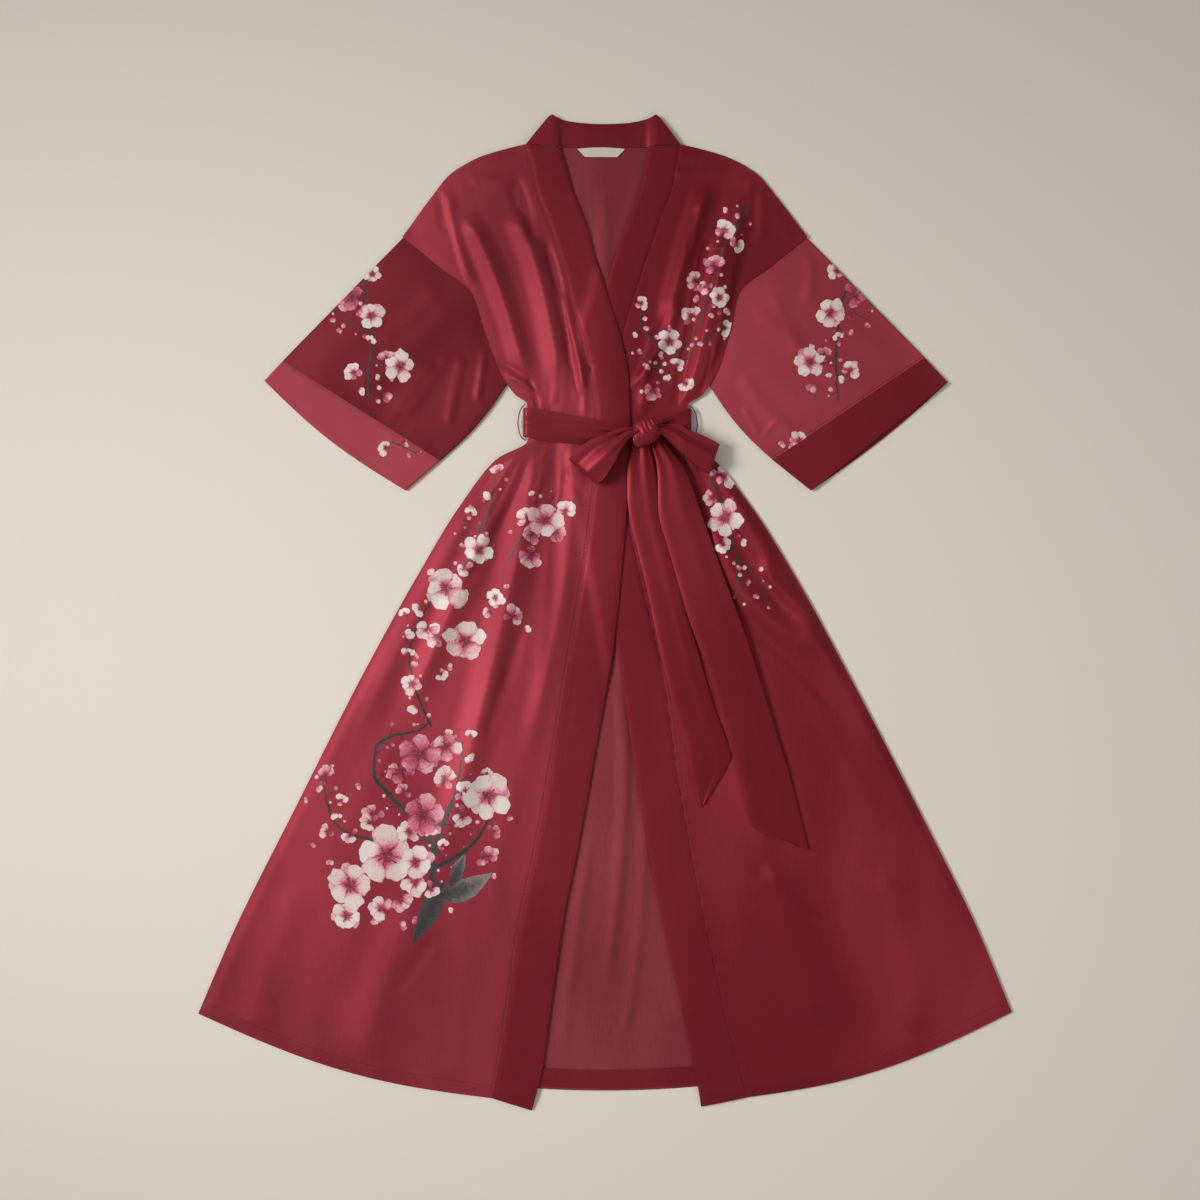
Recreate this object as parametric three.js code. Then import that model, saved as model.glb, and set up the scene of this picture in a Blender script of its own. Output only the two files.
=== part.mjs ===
// A short satin kimono robe, laid flat on a table with its front up and its own sash tied in a bow.
// Sizes are in millimetres: X runs across the robe, Y from the hem to the neck, and Z up from the table.
// Left and right are the wearer's, so the right front, which lies on top, has the lower X values.

import * as THREE from 'three';

// Thickness of each kind of wall
const wall = 1.2;
const bandWall = 1.8;
const sashWall = 1.4;
const cuffWall = 1.4;
const labelWall = 1;

// Daylight between two pieces sewn edge to edge, and between two that lie on each other
const seamGap = 0.6;
const layGap = 0.3;

// Undersides of the fronts: on the back, at the edges, and the rise of the upper one where they cross
const frontLevel = 3.8;
const edgeLevel = 1.6;
const crossLift = 2.8;
const crossWidth = 18;
const crossLead = 26;
const rollWidth = 14;

// The belt line, and how high a fold may stand under the tied sash
const beltMiddle = 248;
const beltHalf = 24;
const beltFold = 2.2;
const beltRelease = 0.35;

// The back rises this far to pass over the sash that runs beneath it
const sashRise = 1.8;
const sashRiseHalf = 26;
const sashRiseRamp = 26;

// Depth of the back's hem below its side corners, and the height of its neck line above its shoulders
const hemArc = 103;
const neckRise = 111;

function table(columns, rows) {
  return rows.map((row) => Object.fromEntries(columns.map((column, index) => [column, row[index]])));
}

// Half outlines of the two fronts, one row per section from the shoulder to the hem
const frontColumns = ['outerX', 'outerY', 'seamY', 'shoulderBow', 'hemBow', 'edge', 'steps'];
const rightFrontRows = table(frontColumns, [
  [-263, 489, 609, 1, 0, 3.8, 2],
  [-217, 451, 573, 0.45, 0, 3.8, 2],
  [-173, 415, 530, 0.2, 0, 3.8, 3],
  [-156, 365, 469, 0.05, 0, 3.8, 3],
  [-136, 313, 391, 0, 0, 3.8, 3],
  [-117, 284, 318, 0, 0, 3.8, 2],
  [-101, 270, 274, 0, 0, 3.8, 2],
  [-100, 226, 222, 0, 0, 3.8, 2],
  [-142, 199, 176, 0, 0, 3, 3],
  [-191, 136, 105, 0, 0, 1.6, 4],
  [-247, 43, -3, 0, 0, 1.6, 5],
  [-316, -82, -148, 0, 3, 1.6, 5],
  [-400, -248, -329, 0, 8, 1.6, 5],
  [-481, -410, -503, 0, 15, 1.6, 5],
  [-529, -521, -631, 0, 20, 1.6, 0],
]);
const leftFrontRows = table(frontColumns, [
  [263, 489, 609, 1, 0, 3.8, 2],
  [217, 452, 573, 0.45, 0, 3.8, 2],
  [173, 415, 530, 0.2, 0, 3.8, 3],
  [162, 365, 465, 0.05, 0, 3.8, 3],
  [145, 313, 391, 0, 0, 3.8, 3],
  [127, 284, 318, 0, 0, 3.8, 2],
  [107, 268, 274, 0, 0, 3.8, 2],
  [107, 228, 222, 0, 0, 3.8, 2],
  [142, 199, 176, 0, 0, 3, 3],
  [192, 136, 105, 0, 0, 1.6, 4],
  [250, 43, -3, 0, 0, 1.6, 5],
  [318, -82, -148, 0, 3, 1.6, 5],
  [404, -248, -329, 0, 8, 1.6, 5],
  [484, -410, -503, 0, 15, 1.6, 5],
  [529, -519, -630, 0, 20, 1.6, 0],
]);

// How far the shoulder stands outside the straight line from its sleeve seam to its band seam
const shoulderShape = table(['at', 'bow'], [
  [0, 0],
  [0.12, 7.7],
  [0.31, 19],
  [0.51, 28],
  [0.66, 25],
  [0.9, 9.3],
  [1, 0],
]);

// The long bands: their seam to the front and their open edge, with the drop of the open edge's end
const bandColumns = ['y', 'seamX', 'openX', 'drop', 'steps'];
const rightBandRows = table(bandColumns, [
  [609, -104, -60, 3, 1],
  [582, -95, -52, 0, 2],
  [550, -88, -43, 0, 2],
  [511, -73, -27, 0, 2],
  [459, -56, -12, 0, 2],
  [407, -42, 5, 0, 2],
  [355, -26, 21, 0, 2],
  [308, -16, 30, 0, 2],
  [264, -10, 32, 0, 2],
  [214, -9, 33, 0, 2],
  [152, -14, 29, 0, 3],
  [53, -27, 21, 0, 3],
  [-35, -42, 12, 0, 3],
  [-113, -55, -1, 0, 2],
  [-203, -70, -17, 0, 2],
  [-312, -90, -37, 0, 2],
  [-396, -108, -54, 0, 3],
  [-521, -127, -72, 0, 2],
  [-595, -139, -83, 5, 2],
  [-631, -147, -95, 16, 0],
]);
const leftBandRows = table(bandColumns, [
  [609, 98, 57, 3, 1],
  [582, 92, 53, 0, 2],
  [550, 86, 46, 0, 2],
  [511, 71, 31, 0, 2],
  [459, 53, 12, 0, 2],
  [407, 36, -5, 0, 2],
  [355, 20, -21, 0, 2],
  [308, 8, -38, 0, 2],
  [264, 1, -47, 0, 2],
  [214, 8, -40, 0, 2],
  [152, 22, -26, 0, 2],
  [82, 38, -10, 0, 2],
  [13, 53, 4, 0, 3],
  [-82, 75, 21, 0, 4],
  [-225, 96, 42, 0, 3],
  [-367, 122, 67, 0, 2],
  [-448, 139, 85, 0, 3],
  [-547, 161, 107, 0, 2],
  [-608, 178, 120, 4, 2],
  [-630, 184, 125, 12, 0],
]);

// The back's side edges, with the share of the neck rise and of the hem's arc that each section takes
const backRows = table(['leftX', 'leftY', 'rightX', 'rightY', 'neck', 'hem', 'steps'], [
  [-255, 496, 255, 496, 1, 0, 2],
  [-210, 460, 210, 460, 0.62, 0, 2],
  [-165, 424, 165, 424, 0.34, 0, 2],
  [-147, 368, 152, 368, 0.14, 0, 2],
  [-127, 316, 135, 316, 0.04, 0, 1],
  [-113, 286, 122, 286, 0, 0, 1],
  [-100, 272, 106, 272, 0, 0, 2],
  [-99, 224, 106, 224, 0, 0, 1],
  [-141, 198, 141, 198, 0, 0, 2],
  [-190, 136, 191, 136, 0, 0.02, 2],
  [-246, 43, 249, 43, 0, 0.08, 2],
  [-315, -82, 317, -82, 0, 0.2, 3],
  [-399, -248, 403, -248, 0, 0.4, 3],
  [-480, -410, 483, -410, 0, 0.7, 3],
  [-528, -519, 528, -518, 0, 1, 0],
]);

// The shoulder and neck line of the back, as a share of the neck rise across its width
const neckShape = table(['at', 'share'], [
  [0, 0],
  [0.05, 0.34],
  [0.11, 0.665],
  [0.17, 0.84],
  [0.26, 0.955],
  [0.31, 0.985],
  [0.69, 0.985],
  [0.74, 0.955],
  [0.83, 0.84],
  [0.89, 0.665],
  [0.95, 0.34],
  [1, 0],
]);

// Main folds: a crest from its top through its middle to its foot, and the reach of its two flanks
const foldColumns = ['topX', 'topY', 'midX', 'midY', 'footX', 'footY', 'height', 'west', 'east'];
const rightFolds = crestLines(table(foldColumns, [
  [-173, 563, -110, 443, -81, 270, 9, 22, 27],
  [-84, 472, -60, 413, -22, 313, 5, 17, 13],
  [-191, 550, -152, 407, -116, 290, 7, 12, 30],
  [-69, 350, -62, 309, -58, 250, 5, 12, 12],
  [-35, 341, -30, 303, -25, 250, 4, 10, 10],
  [-100, 330, -94, 290, -87, 250, 4, 9, 10],
  [-88, 240, -126, 10, -228, -373, 10, 34, 27],
  [-96, 240, -162, 88, -260, -139, 8, 28, 25],
  [-98, 236, -186, 108, -338, -191, 5, 26, 28],
  [-51, 236, -48, 69, -110, -217, 5, 22, 22],
  [-247, -373, -286, -484, -318, -589, 6, 55, 42],
  [-396, -347, -436, -464, -462, -552, 5, 45, 45],
  [-173, -347, -186, -503, -195, -618, 4, 40, 40],
]));
const leftFolds = crestLines(table(foldColumns, [
  [139, 556, 116, 472, 82, 368, 7, 20, 25],
  [152, 498, 127, 394, 100, 262, 8, 14, 20],
  [178, 556, 160, 420, 126, 287, 7, 28, 12],
  [74, 361, 54, 313, 52, 258, 4, 14, 18],
  [140, 130, 190, 16, 290, -50, 9, 28, 32],
  [118, 226, 182, 121, 318, -113, 5, 22, 28],
  [212, -322, 244, -420, 290, -540, 5, 40, 48],
  [358, -321, 390, -438, 416, -555, 5, 42, 42],
]));
const backFolds = crestLines(table(foldColumns, [
  [9, 17, 25, -217, -1, -516, 3, 20, 16],
  [-17, -282, -40, -438, -56, -581, 2, 14, 16],
  [-1, 560, 1, 470, 3, 407, 2.2, 18, 18],
]));

// Where the sleeves start beside the back, from the upper edge down to the underarm
const armholeLine = table(['at', 'rightX', 'leftX', 'y'], [
  [0, -257, 257, 494],
  [0.22, -213, 213, 457],
  [0.45, -168, 168, 421],
  [0.68, -149.5, 154.5, 368],
  [0.92, -130, 138, 315],
  [1, -124, 132, 302],
]);

// The sleeves' other corners: the cuff's seam and the mouth, each at the upper and at the lower edge
const rightSleeve = {
  side: 1,
  armhole: 'rightX',
  seam: [new THREE.Vector2(-419, 328), new THREE.Vector2(-214, 198)],
  mouth: [new THREE.Vector2(-443, 302), new THREE.Vector2(-259, 159)],
  mouthBow: 9,
  folds: crestLines(table(foldColumns, [
    [-190, 400, -262, 330, -330, 290, 5, 20, 24],
    [-168, 314, -212, 258, -262, 222, 4, 14, 16],
    [-250, 440, -325, 365, -392, 318, 4, 22, 22],
  ])),
};
const leftSleeve = {
  side: -1,
  armhole: 'leftX',
  seam: [new THREE.Vector2(416, 332), new THREE.Vector2(218, 199)],
  mouth: [new THREE.Vector2(446, 300), new THREE.Vector2(268, 159)],
  mouthBow: 5,
  folds: crestLines(table(foldColumns, [
    [190, 400, 262, 330, 330, 290, 5, 24, 20],
    [172, 314, 212, 258, 262, 222, 4, 16, 14],
    [250, 440, 325, 365, 392, 318, 4, 22, 22],
  ])),
};
const sleeveSteps = 10;
const cuffSteps = 3;

// Heights of a flattened sleeve, and how its upper layer slopes down to the edges
const armholeHeight = 3.1;
const armHeight = 4.8;
const cuffHeight = 5.4;
const swellShare = 0.22;
const underarmBow = 6;
const upperSlope = 5;
const underarmSlope = 8;
const cuffSlope = 20;
const mouthSlope = 8;
const edgeShare = 0.5;
const ringStations = [0, 0.02, 0.07, 0.16, 0.28, 0.42, 0.56, 0.7, 0.82, 0.91, 0.97, 1];

// The neck band, from its right end round the neck to its left end
const neckBandRows = table(['lowX', 'lowY', 'topX', 'topY', 'lift'], [
  [-103, 610, -75, 643, 3.8],
  [-88, 609.6, -72, 645.5, 4.6],
  [-70, 608.6, -68, 647, 5],
  [-61, 607.6, -62, 644, 3.6],
  [-54, 606.6, -54, 641, 0.8],
  [-28, 606.6, -26, 637, 0.2],
  [0, 606.6, -2, 636, 0.2],
  [28, 606.6, 26, 637, 0.2],
  [52, 606.6, 50, 641, 0.8],
  [59, 607.6, 60, 644, 3.6],
  [68, 608.6, 66, 647, 5],
  [83, 609.6, 69, 645.5, 4.6],
  [98, 610, 72, 643, 3.8],
]);

// The turned-up hem of the back, built across the skirt's opening
const backHem = { fromX: -122, toX: 150, depth: 24, inset: 3, steps: 12 };

// The bare label under the neck band
const label = { topHalf: 31, lowHalf: 21, topY: 605.5, lowY: 593, middleX: -5, arch: 2, steps: 6 };

// The sash where it passes beneath the back
const sashUnder = { fromX: -105.6, toX: 111.6, lowY: 229, topY: 266 };

// The tied stretches of the sash, from the knot to the side where they turn down
const sashColumns = ['topX', 'topY', 'lowX', 'lowY', 'z'];
const rightSashRows = table(sashColumns, [
  [50, 239, 50, 229, 10.4],
  [36, 239, 34, 228, 10.4],
  [24, 241, 8, 227, 10.4],
  [-7, 250, -27, 219, 10.4],
  [-34, 255, -48, 220, 10],
  [-61, 260, -70, 222, 9.4],
  [-84, 264, -88, 225, 8.8],
  [-99, 266, -101, 228, 8.2],
  [-103.4, 266, -104, 229, 7],
  [-105.4, 266, -105.8, 229, 5],
  [-106.3, 266, -106.5, 229, 2.6],
  [-106.5, 266, -106.6, 229, 0.3],
]);
const leftSashRows = table(sashColumns, [
  [54, 240, 54, 231, 10.4],
  [70, 244, 72, 231, 10.4],
  [87, 255, 87, 226, 9.8],
  [99, 262, 99, 227, 9],
  [106, 264, 106, 228, 8.2],
  [109.6, 265, 109.6, 229, 7],
  [111.4, 265, 111.4, 229, 5],
  [112.3, 265, 112.3, 229, 2.6],
  [112.5, 265, 112.5, 229, 0.3],
]);

// The hanging tails, from under the knot to their slanted ends
const tailColumns = ['leftX', 'leftY', 'rightX', 'rightY', 'z', 'crown'];
const shortTailRows = table(tailColumns, [
  [38, 232, 54, 232, 12.8, 0.2],
  [34, 214, 58, 215, 12.6, 1],
  [29, 186, 65, 186, 10.8, 1.6],
  [29, 151, 70, 151, 9.6, 1.6],
  [33, 118, 77, 118, 8.2, 1.2],
  [42, 82, 86, 82, 7.2, 1],
  [55, 27, 100, 27, 6.6, 0.8],
  [63, -11, 109, -11, 6.4, 0.8],
  [71, -49, 120, -48, 6.4, 0.8],
  [89, -122, 140, -117, 6.2, 0.8],
  [104, -172, 156, -160, 6, 0.6],
  [113, -214, 164, -183, 6, 0.4],
  [123, -252, 130, -247, 5.9, 0],
]);
const longTailRows = table(tailColumns, [
  [52, 234, 66, 234, 14.7, 0.2],
  [60, 216, 77, 220, 14.8, 1],
  [68, 179, 103, 186, 13.6, 1.8],
  [69, 134, 121, 139, 12.4, 1.6],
  [86, 69, 144, 74, 12.6, 1.2],
  [110, -13, 173, -5, 13.2, 1],
  [124, -50, 186, -42, 12, 1],
  [138, -90, 198, -79, 10.8, 1],
  [160, -168, 221, -153, 9.2, 1],
  [177, -225, 239, -210, 7.8, 0.8],
  [190, -276, 252, -259, 6.8, 0.6],
  [247, -301, 264, -307, 6.6, 0],
]);

// The bow's loops: the strip from inside the knot out to the far fold, its lower and its upper layer
const loopColumns = ['topX', 'topY', 'lowX', 'lowY', 'under', 'over'];
const rightLoopRows = table(loopColumns, [
  [41, 239, 41, 228, 22.4, 30.6],
  [34, 239, 33, 227, 22.3, 30.6],
  [14, 236, 19, 208, 17.5, 30.5],
  [-2, 229, 12, 194, 15, 30.5],
  [-18, 223, 5, 182, 13.6, 28],
  [-33, 212, -2, 173, 13.4, 24.5],
  [-44, 201, -8, 168, 14.4, 20],
]);
const leftLoopRows = table(loopColumns, [
  [65, 239, 65, 230, 24, 30.6],
  [72, 242, 72, 231, 23.6, 30.6],
  [92, 243, 88, 216, 18, 30.5],
  [106, 236, 99, 205, 15.4, 30],
  [122, 230, 110, 196, 14.2, 27.5],
  [136, 224, 122, 187, 14, 24],
  [146, 219, 133, 180, 14.6, 20],
]);

// The knot: a ring of the sash drawn tight over the bow's middle
const knot = { x: 53, y: 233, z: 27.2, halfLength: 18, sides: 16 };
const knotRows = table(['at', 'halfY', 'halfZ'], [
  [-1, 14, 7.4],
  [-0.7, 18.6, 9.8],
  [0, 19.6, 10.4],
  [0.7, 18.6, 9.8],
  [1, 14, 7.4],
]);

// Thread carriers that hold the sash at each side
const carrier = { radius: 1, sides: 6, steps: 9 };
const carrierPoints = {
  right: [[-103.5, 271.5, 3.2], [-110.5, 267, 4.6], [-114, 250, 5.2], [-113, 234, 5.2], [-109.6, 226, 4.4],
    [-103.5, 224.3, 3.2]],
  left: [[109.6, 269.6, 3.2], [116.6, 265, 4.6], [120.5, 249, 5.2], [120.5, 234, 5.2], [116.5, 225, 4.4],
    [111, 225, 3.2]],
};

// Share of the width at which a panel's columns stand, closest together at its outer edge
const panelColumns = [0, 0.02, 0.06, 0.13, 0.21, 0.3, 0.39, 0.48, 0.57, 0.66, 0.75, 0.84, 0.92, 1];
const backColumns = [0, 0.05, 0.11, 0.17, 0.24, 0.31, 0.4, 0.46, 0.49, 0.51, 0.53, 0.55, 0.58, 0.63, 0.69,
  0.76, 0.83, 0.89, 0.95, 1];
const bandColumnsAt = [0, 0.35, 0.7, 1];

// Colours of the cloths
const satin = new THREE.MeshStandardMaterial({ color: 0x7e2833, roughness: 0.42, metalness: 0 });
const satinInside = new THREE.MeshStandardMaterial({ color: 0x8a363d, roughness: 0.7, metalness: 0 });
const bandSatin = new THREE.MeshStandardMaterial({ color: 0x76242c, roughness: 0.42, metalness: 0 });
const labelTape = new THREE.MeshStandardMaterial({ color: 0xe6ddd4, roughness: 0.8, metalness: 0 });
const carrierThread = new THREE.MeshStandardMaterial({ color: 0x6a1d26, roughness: 0.8, metalness: 0 });

function smooth(value) {
  const t = Math.min(1, Math.max(0, value));
  return t * t * (3 - 2 * t);
}

function mix(from, to, share) {
  return from + (to - from) * share;
}

// A monotone cubic through given points, so that an outline has no waves between its rows
function curveThrough(places, values) {
  const last = places.length - 1;
  const slopes = places.slice(1).map((place, i) => (values[i + 1] - values[i]) / (place - places[i]));
  const tangents = places.map((place, i) => {
    if (i === 0) return slopes[0];
    if (i === last) return slopes[last - 1];
    const before = slopes[i - 1];
    const after = slopes[i];
    return before * after <= 0 ? 0 : (2 * before * after) / (before + after);
  });
  return (at) => {
    let i = 0;
    while (i < last - 1 && at > places[i + 1]) i += 1;
    const width = places[i + 1] - places[i];
    const t = Math.min(1, Math.max(0, (at - places[i]) / width));
    const rise = values[i + 1] - values[i];
    const start = tangents[i] * width;
    const end = tangents[i + 1] * width;
    return values[i] + t * (start + t * (3 * rise - 2 * start - end + t * (start + end - 2 * rise)));
  };
}

// One curve per column of a table, read at a row number or at another column's value
function rowCurves(rows, against) {
  const places = rows.map((row, i) => (against ? row[against] : i));
  const ascending = places[places.length - 1] > places[0];
  const ordered = ascending ? rows : [...rows].reverse();
  const sorted = ascending ? places : [...places].reverse();
  const columns = Object.keys(rows[0]).filter((column) => column !== against);
  return Object.fromEntries(columns.map((column) => [
    column,
    curveThrough(sorted, ordered.map((row) => row[column])),
  ]));
}

// Row numbers, with each section's own count of steps down to the next
function rowStations(rows) {
  const stations = [];
  rows.forEach((row, i) => {
    for (let step = 0; step < row.steps; step += 1) stations.push(i + step / row.steps);
  });
  stations.push(rows.length - 1);
  return stations;
}

function crestLines(folds) {
  const pieces = 12;
  return folds.map((fold) => {
    const top = new THREE.Vector2(fold.topX, fold.topY);
    const middle = new THREE.Vector2(fold.midX, fold.midY);
    const foot = new THREE.Vector2(fold.footX, fold.footY);
    const control = middle.multiplyScalar(2).addScaledVector(top, -0.5).addScaledVector(foot, -0.5);
    return { ...fold, crest: new THREE.QuadraticBezierCurve(top, control, foot).getPoints(pieces) };
  });
}

// Height of one fold over a point: a wave across its crest that fades at both ends
function foldHeight(fold, x, y) {
  const fade = 0.16;
  const pieces = fold.crest.length - 1;
  let nearest = Infinity;
  let share = 0;
  let offset = 0;
  for (let i = 0; i < pieces; i += 1) {
    const from = fold.crest[i];
    const alongX = fold.crest[i + 1].x - from.x;
    const alongY = fold.crest[i + 1].y - from.y;
    const length = Math.hypot(alongX, alongY);
    const along = Math.min(1, Math.max(0, ((x - from.x) * alongX + (y - from.y) * alongY) / length ** 2));
    const distance = Math.hypot(x - from.x - along * alongX, y - from.y - along * alongY);
    if (distance < nearest) {
      nearest = distance;
      share = (i + along) / pieces;
      offset = Math.sign(alongX * (y - from.y) - alongY * (x - from.x)) * distance;
    }
  }
  const reach = offset > 0 ? fold.east : fold.west;
  const flank = Math.min(1, Math.abs(offset) / reach);
  const ends = smooth(share / fade) * smooth((1 - share) / fade);
  return fold.height * ends * 0.5 * (1 + Math.cos(Math.PI * flank));
}

function foldsHeight(folds, x, y) {
  const total = folds.reduce((sum, fold) => sum + foldHeight(fold, x, y), 0);
  const free = Math.max(0, Math.abs(y - beltMiddle) - beltHalf);
  return Math.min(total, beltFold + free * beltRelease);
}

const leftBandAt = rowCurves(leftBandRows, 'y');
const rightBandAt = rowCurves(rightBandRows, 'y');

// Undersides of the cloths, as heights over the table
function leftClothZ(x, y) {
  return frontLevel + foldsHeight(leftFolds, x, y);
}

function rightClothZ(x, y) {
  const crossing = smooth((x - leftBandAt.openX(y) + crossLead) / crossWidth);
  return frontLevel + crossLift * crossing + foldsHeight(rightFolds, x, y);
}

function backClothZ(x, y) {
  const overSash = 1 - smooth((Math.abs(y - beltMiddle) - sashRiseHalf) / sashRiseRamp);
  return sashRise * overSash + foldsHeight(backFolds, x, y);
}

// Closed solids from grids of points: an under side, an upper side and the walls between their borders
function solidGeometry(positions, triangles) {
  const at = (index) => new THREE.Vector3().fromArray(positions, index * 3);
  let volume = 0;
  for (let i = 0; i < triangles.length; i += 3) {
    const corner = at(triangles[i]);
    volume += corner.dot(at(triangles[i + 1]).cross(at(triangles[i + 2])));
  }
  const outward = volume > 0 ? triangles : [...triangles].reverse();
  const geometry = new THREE.BufferGeometry();
  geometry.setAttribute('position', new THREE.Float32BufferAttribute(positions, 3));
  geometry.setIndex(outward);
  geometry.computeVertexNormals();
  return geometry;
}

function sheetSolid(under, upper) {
  const rows = under.length;
  const columns = under[0].length;
  const positions = [...under.flat(), ...upper.flat()].flatMap((point) => point.toArray());
  const low = (i, j) => i * columns + j;
  const high = (i, j) => rows * columns + i * columns + j;
  const triangles = [];
  const quad = (a, b, c, d) => triangles.push(a, b, c, a, c, d);
  for (let i = 0; i < rows - 1; i += 1) {
    for (let j = 0; j < columns - 1; j += 1) {
      quad(high(i, j), high(i + 1, j), high(i + 1, j + 1), high(i, j + 1));
      quad(low(i, j), low(i, j + 1), low(i + 1, j + 1), low(i + 1, j));
    }
  }
  for (let i = 0; i < rows - 1; i += 1) {
    quad(low(i, 0), low(i + 1, 0), high(i + 1, 0), high(i, 0));
    quad(low(i + 1, columns - 1), low(i, columns - 1), high(i, columns - 1), high(i + 1, columns - 1));
  }
  for (let j = 0; j < columns - 1; j += 1) {
    quad(low(0, j + 1), low(0, j), high(0, j), high(0, j + 1));
    quad(low(rows - 1, j), low(rows - 1, j + 1), high(rows - 1, j + 1), high(rows - 1, j));
  }
  return solidGeometry(positions, triangles);
}

function tubeSolid(outer, inner) {
  const rings = outer.length;
  const around = outer[0].length;
  const positions = [...outer.flat(), ...inner.flat()].flatMap((point) => point.toArray());
  const out = (i, k) => i * around + (k % around);
  const within = (i, k) => rings * around + i * around + (k % around);
  const triangles = [];
  const quad = (a, b, c, d) => triangles.push(a, b, c, a, c, d);
  for (let k = 0; k < around; k += 1) {
    for (let i = 0; i < rings - 1; i += 1) {
      quad(out(i, k), out(i + 1, k), out(i + 1, k + 1), out(i, k + 1));
      quad(within(i, k), within(i, k + 1), within(i + 1, k + 1), within(i + 1, k));
    }
    quad(out(0, k), out(0, k + 1), within(0, k + 1), within(0, k));
    quad(out(rings - 1, k + 1), out(rings - 1, k), within(rings - 1, k), within(rings - 1, k + 1));
  }
  return solidGeometry(positions, triangles);
}

function gridNormals(grid) {
  const rows = grid.length - 1;
  const columns = grid[0].length - 1;
  return grid.map((row, i) => row.map((point, j) => {
    const down = grid[Math.min(rows, i + 1)][j].clone().sub(grid[Math.max(0, i - 1)][j]);
    const across = grid[i][Math.min(columns, j + 1)].clone().sub(grid[i][Math.max(0, j - 1)]);
    return down.cross(across).normalize();
  }));
}

// A laid cloth keeps its outline in plan, so its wall is measured upwards and grows on a slope
function laidSheet(under, thickness) {
  const steepest = 0.65;
  const normals = gridNormals(under);
  const upper = under.map((row, i) => row.map((point, j) => {
    const slope = Math.max(steepest, Math.abs(normals[i][j].z));
    return new THREE.Vector3(point.x, point.y, point.z + thickness / slope);
  }));
  return sheetSolid(under, upper);
}

// A strip that turns over or on edge has its wall along its own normals
function turnedSheet(grid, thickness) {
  const normals = gridNormals(grid);
  const offset = grid.map((row, i) => row.map((point, j) => (
    point.clone().addScaledVector(normals[i][j], thickness)
  )));
  return sheetSolid(grid, offset);
}

function named(name, geometry, material) {
  const mesh = new THREE.Mesh(geometry, material.clone());
  mesh.name = name;
  return mesh;
}

function upright(point, z) {
  return new THREE.Vector3(point.x, point.y, z);
}

// A front lies between its side edge and its band's seam, and rolls down at its free edges
function frontPanel(name, rows, bandAt, clothZ, side) {
  const at = rowCurves(rows);
  const bow = rowCurves(shoulderShape, 'at').bow;
  const last = rows.length - 1;
  const ends = (v) => {
    const seamY = at.seamY(v);
    const outer = new THREE.Vector2(at.outerX(v), at.outerY(v));
    return [outer, new THREE.Vector2(bandAt.seamX(seamY) - side * seamGap, seamY)];
  };
  const place = (v, u) => {
    const [outer, seam] = ends(v);
    const outward = new THREE.Vector2(outer.y - seam.y, seam.x - outer.x).normalize();
    const point = outer.clone().lerp(seam, u);
    point.addScaledVector(outward, side * at.shoulderBow(v) * bow(u));
    point.y -= at.hemBow(v) * Math.sin(Math.PI * u);
    return point;
  };
  const under = rowStations(rows).map((v) => {
    const [outer, seam] = ends(v);
    const width = outer.distanceTo(seam);
    return panelColumns.map((u) => {
      const point = place(v, u);
      const cloth = clothZ(point.x, point.y);
      const fromSide = u * width;
      const fromSeam = (1 - u) * width;
      const fromHem = point.y - place(last, u).y;
      const fromShoulder = place(0, u).y - point.y;
      const shoulderEdge = mix(frontLevel, edgeLevel, smooth(Math.min(fromSide, fromSeam) / rollWidth));
      const sideZ = mix(at.edge(v), cloth, smooth(fromSide / rollWidth));
      const hemZ = mix(edgeLevel, cloth, smooth(fromHem / rollWidth));
      const shoulderZ = mix(shoulderEdge, cloth, smooth(fromShoulder / rollWidth));
      return upright(point, Math.min(sideZ, hemZ, shoulderZ));
    });
  });
  return named(name, laidSheet(under, wall), satin);
}

// A long band runs from the neck to the hem along its front's seam
function frontBand(name, rows, clothZ) {
  const at = rowCurves(rows);
  const endY = rows.at(-1).y;
  const under = rowStations(rows).map((v) => {
    const seam = new THREE.Vector2(at.seamX(v), at.y(v));
    const open = new THREE.Vector2(at.openX(v), at.y(v) - at.drop(v));
    return bandColumnsAt.map((u) => {
      const point = seam.clone().lerp(open, u);
      const fromHem = seam.y - endY;
      const cloth = clothZ(point.x, point.y);
      return upright(point, mix(edgeLevel, cloth, smooth(fromHem / rollWidth)));
    });
  });
  return named(name, laidSheet(under, bandWall), bandSatin);
}

// The back lies on the table, from its shoulders and neck line down to the arc of its hem
function backHemY(x) {
  const corner = backRows.at(-1);
  return mix(corner.leftY, corner.rightY, 0.5) - hemArc * (1 - (x / corner.rightX) ** 2);
}

function backPanel() {
  const at = rowCurves(backRows);
  const neck = rowCurves(neckShape, 'at').share;
  const under = rowStations(backRows).map((v) => backColumns.map((u) => {
    const x = mix(at.leftX(v), at.rightX(v), u);
    const arc = 1 - (2 * u - 1) ** 2;
    const y = mix(at.leftY(v), at.rightY(v), u) + neckRise * at.neck(v) * neck(u) - hemArc * at.hem(v) * arc;
    return new THREE.Vector3(x, y, backClothZ(x, y));
  }));
  return named('back', laidSheet(under, wall), satinInside);
}

function backHemStrip() {
  const { fromX, toX, depth, inset, steps } = backHem;
  const under = [];
  for (let i = 0; i <= steps; i += 1) {
    const x = mix(fromX, toX, i / steps);
    const low = backHemY(x) + inset;
    under.push([low, low + depth].map((y) => new THREE.Vector3(x, y, wall + layGap)));
  }
  return named('back_hem', laidSheet(under, wall), satin);
}

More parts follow.
